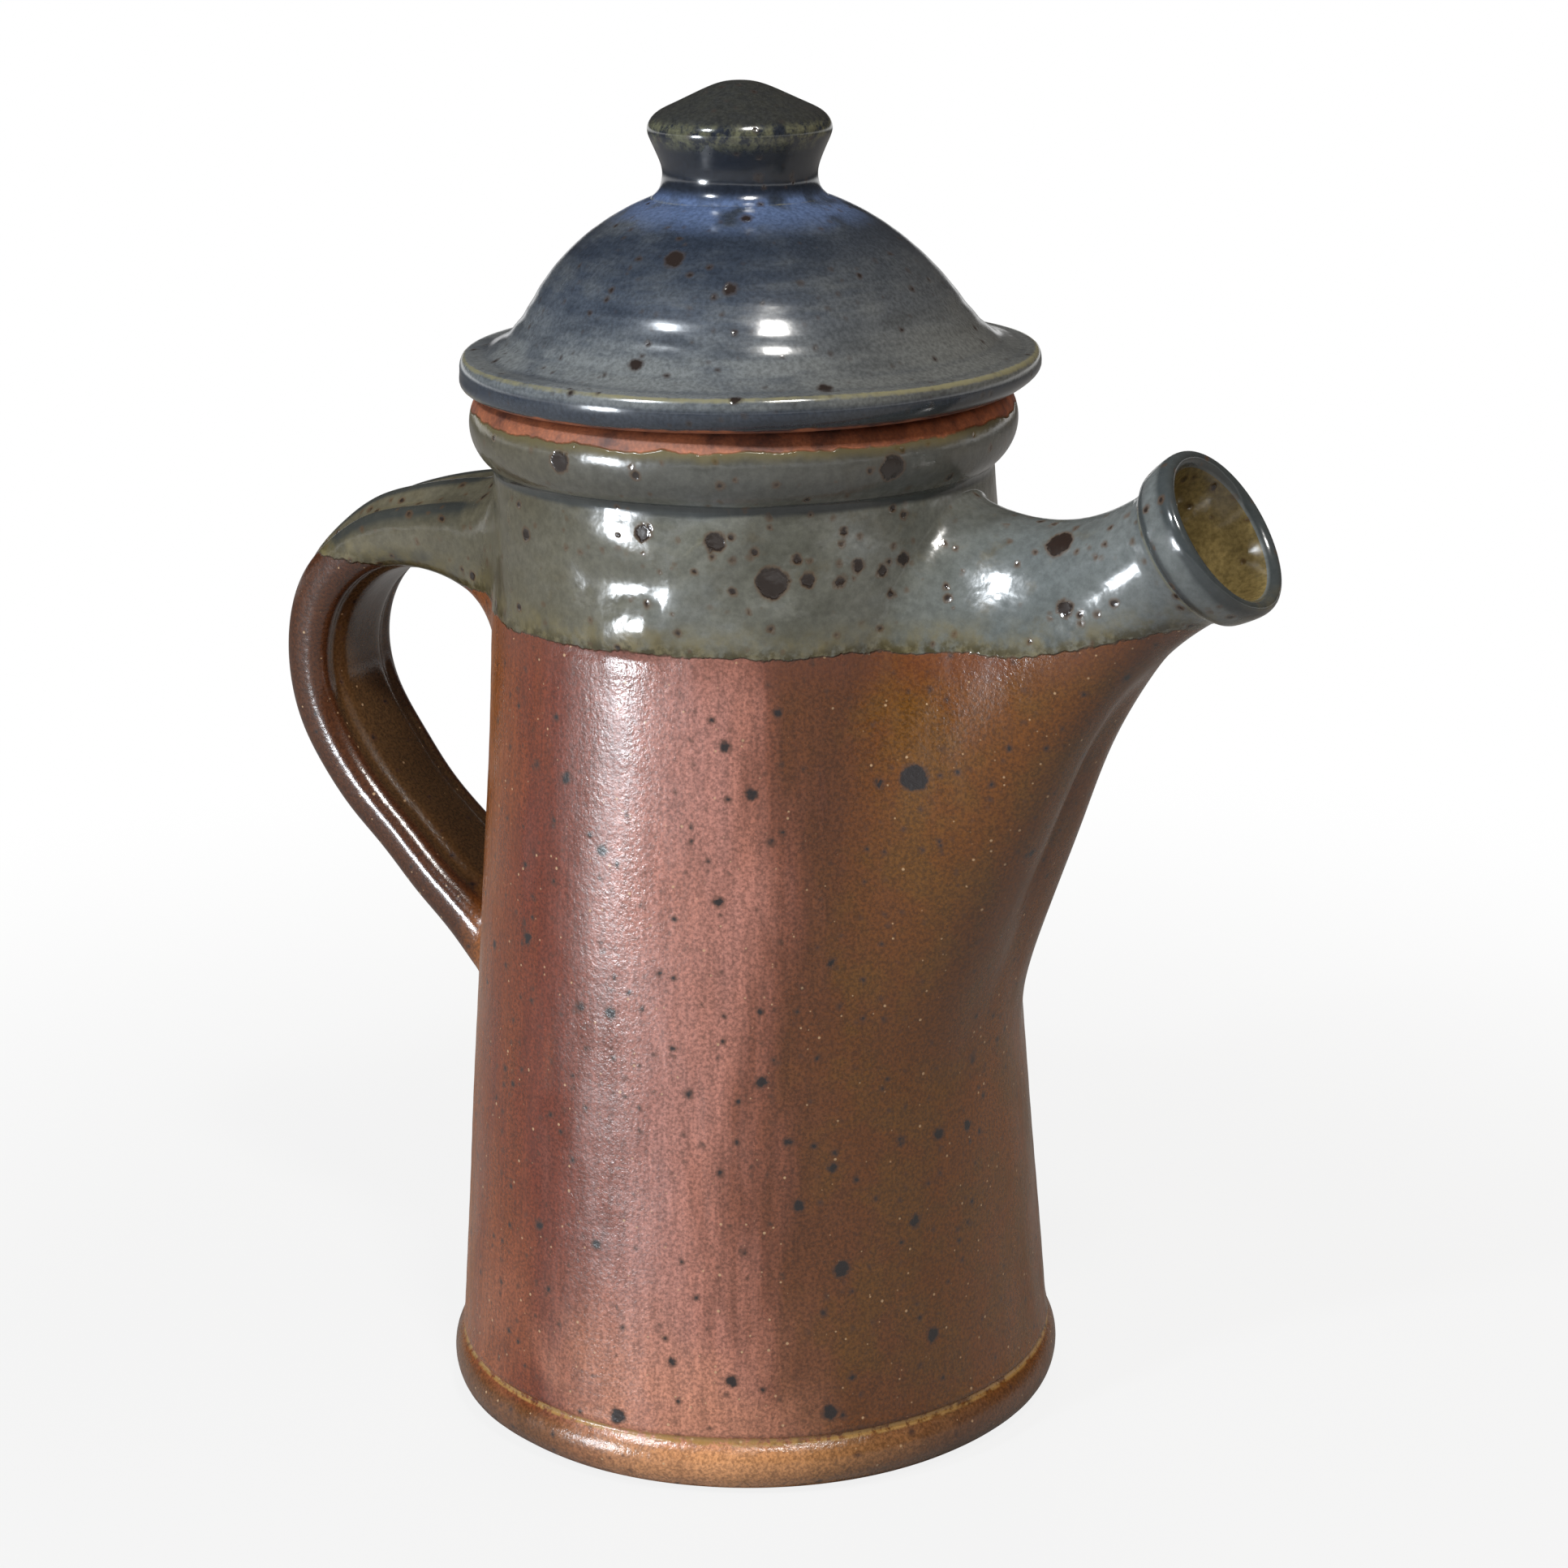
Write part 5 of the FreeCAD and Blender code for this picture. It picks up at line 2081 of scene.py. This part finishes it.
@dataclass(frozen=True)
class Studio:
    """Pale floor, soft room light and square lamps.

    Attributes:
        room: Colour and level of the room's light.
        floor: Colour of the floor.
        floor_glow: Share of plain white in the floor near the pot, as the camera sees it.
        floor_half: Half width of the floor, in metres.
        glow_span: Distances from the pot over which the floor turns plain white.
        mirror_span: Distances over which it does so in reflections.
        aim: Height that the lamps face, in metres.
        lamps: The lamps.
    """

    room: Colour = (0.038, 0.035, 0.032)
    floor: Colour = (0.28, 0.277, 0.274)
    floor_glow: float = 0.86
    floor_half: float = 40.0
    glow_span: Span = (120.0, 420.0)
    mirror_span: Span = (1600.0, 3200.0)
    aim: float = 0.17
    lamps: tuple[Lamp, ...] = (
        Lamp("window_lamp", azimuth=-18.0, elevation=42.0, level=0.66, colour=(0.88, 0.94, 1.0), size=0.1),
        Lamp("low_window_lamp", azimuth=-25.0, elevation=-2.0, level=0.66, colour=(0.88, 0.94, 1.0), size=0.18),
        Lamp("ceiling_lamp", azimuth=49.0, elevation=55.0, level=0.70, colour=(1.0, 0.98, 0.94), size=0.17),
        Lamp("right_fill", azimuth=118.0, elevation=30.0, level=0.34, colour=(1.0, 0.88, 0.76), size=0.6,
             mirrored=False),
        Lamp("back_fill", azimuth=-145.0, elevation=32.0, level=0.50, colour=(1.0, 0.96, 0.92), size=0.6,
             mirrored=False),
    )

    def build(self) -> None:
        """Adds the room's light, the floor and the lamps."""
        world = bpy.data.worlds.new("room")
        bpy.context.scene.world = world
        world.use_nodes = True
        background = world.node_tree.nodes["Background"]
        background.inputs["Color"].default_value = (*self.room, 1.0)
        for lamp in self.lamps:
            lamp.place(Vector((0.0, 0.0, self.aim)))
        half = self.floor_half
        mesh = bpy.data.meshes.new("floor")
        corners = [(-half, -half, 0), (half, -half, 0), (half, half, 0), (-half, half, 0)]
        mesh.from_pydata(corners, [], [(0, 1, 2, 3)])
        floor = bpy.data.objects.new("floor", mesh)
        bpy.context.scene.collection.objects.link(floor)
        mesh.materials.append(self.floor_finish())

    def floor_finish(self) -> Material:
        """Plain pale floor that keeps the pot's shadow and fades to white far from it.

        Returns:
            The material.
        """
        mix = Recipe("pale_floor")
        mottle = mix.rise(mix.cloud(180.0, 2.0), 0.3, 0.7, 0.97, 1.03)
        diffuse = mix.node("ShaderNodeBsdfDiffuse", {"Color": mix.shaded(self.floor, mottle)})
        white = mix.node("ShaderNodeEmission")
        rays = mix.node("ShaderNodeLightPath").outputs
        reach = mix.vector("LENGTH", mix.place)
        seen = mix.times(mix.rise(reach, *self.glow_span, self.floor_glow, 1.0), rays["Is Camera Ray"])
        mirrored = mix.add(rays["Is Glossy Ray"], rays["Is Transmission Ray"])
        glow = mix.sum("MINIMUM", mix.add(seen, mix.times(mix.rise(reach, *self.mirror_span), mirrored)), 1.0)
        both = mix.node("ShaderNodeMixShader", {0: glow, 1: diffuse.outputs[0], 2: white.outputs[0]})
        mix.node("ShaderNodeOutputMaterial", {"Surface": both.outputs[0]})
        return mix.material


@dataclass(frozen=True)
class PhotoCamera:
    """Camera at the photograph's viewing angle.

    Attributes:
        azimuth: Azimuth that it stands at.
        distance: Distance from the pot's axis, in metres.
        height: Height above the floor, in metres.
        yaw: Degrees that it turns to the right of the axis.
        pitch: Degrees that it looks down.
        roll: Degrees that it leans.
        lens: Focal length in millimetres.
        sensor: Width of the sensor in millimetres.
        clip: Nearest and farthest distance that it sees, in metres.
    """

    azimuth: float = 31.5
    distance: float = 0.6
    height: float = 0.294
    yaw: float = 0.61
    pitch: float = 16.7
    roll: float = -0.6
    lens: float = 79.16
    sensor: float = 36.0
    clip: Span = (0.01, 100.0)

    def build(self) -> None:
        """Adds the camera and makes it the scene's own."""
        data = bpy.data.cameras.new("photo_camera")
        data.lens, data.sensor_width, data.sensor_fit = self.lens, self.sensor, "HORIZONTAL"
        data.clip_start, data.clip_end = self.clip
        camera = bpy.data.objects.new("photo_camera", data)
        heading = Matrix.Rotation(math.radians(self.azimuth - self.yaw), 4, "Z")
        tip = Matrix.Rotation(math.radians(90.0 - self.pitch), 4, "X")
        lean = Matrix.Rotation(math.radians(self.roll), 4, "Z")
        turn = math.radians(self.azimuth)
        place = Vector((self.distance * math.sin(turn), -self.distance * math.cos(turn), self.height))
        camera.matrix_world = Matrix.Translation(place) @ heading @ tip @ lean
        bpy.context.scene.collection.objects.link(camera)
        bpy.context.scene.camera = camera


def top_of(node: str) -> float:
    """Height of a CAD node, in millimetres."""
    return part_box(node)[1].z / MM


def reach_along_y(node: str) -> float:
    """Radius of a turned CAD node, in millimetres."""
    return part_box(node)[1].y / MM


def main() -> None:
    """Builds the pot piece by piece, then the studio and the camera."""
    logging.basicConfig(level=logging.INFO, format="%(name)s: %(message)s")
    bpy.context.scene.view_settings.view_transform = "Standard"
    finishes = Finishes()
    wall = Wall()
    rim_height = top_of("pot_body")
    lid = Lid(seat_height=rim_height, flange_radius=reach_along_y("lid"))
    knob = LidKnob(lid=lid, top_height=top_of("lid_knob"), band_radius=reach_along_y("lid_knob"))
    for assembly in (PotBody(wall, rim_height), Spout(wall, rim_height), Handle(wall), lid, knob):
        piece = assembly.dressed(finishes)
        log.info("%s: %d faces", piece.name, len(piece.data.polygons))
    Studio().build()
    PhotoCamera().build()


if __name__ == "__main__":
    main()
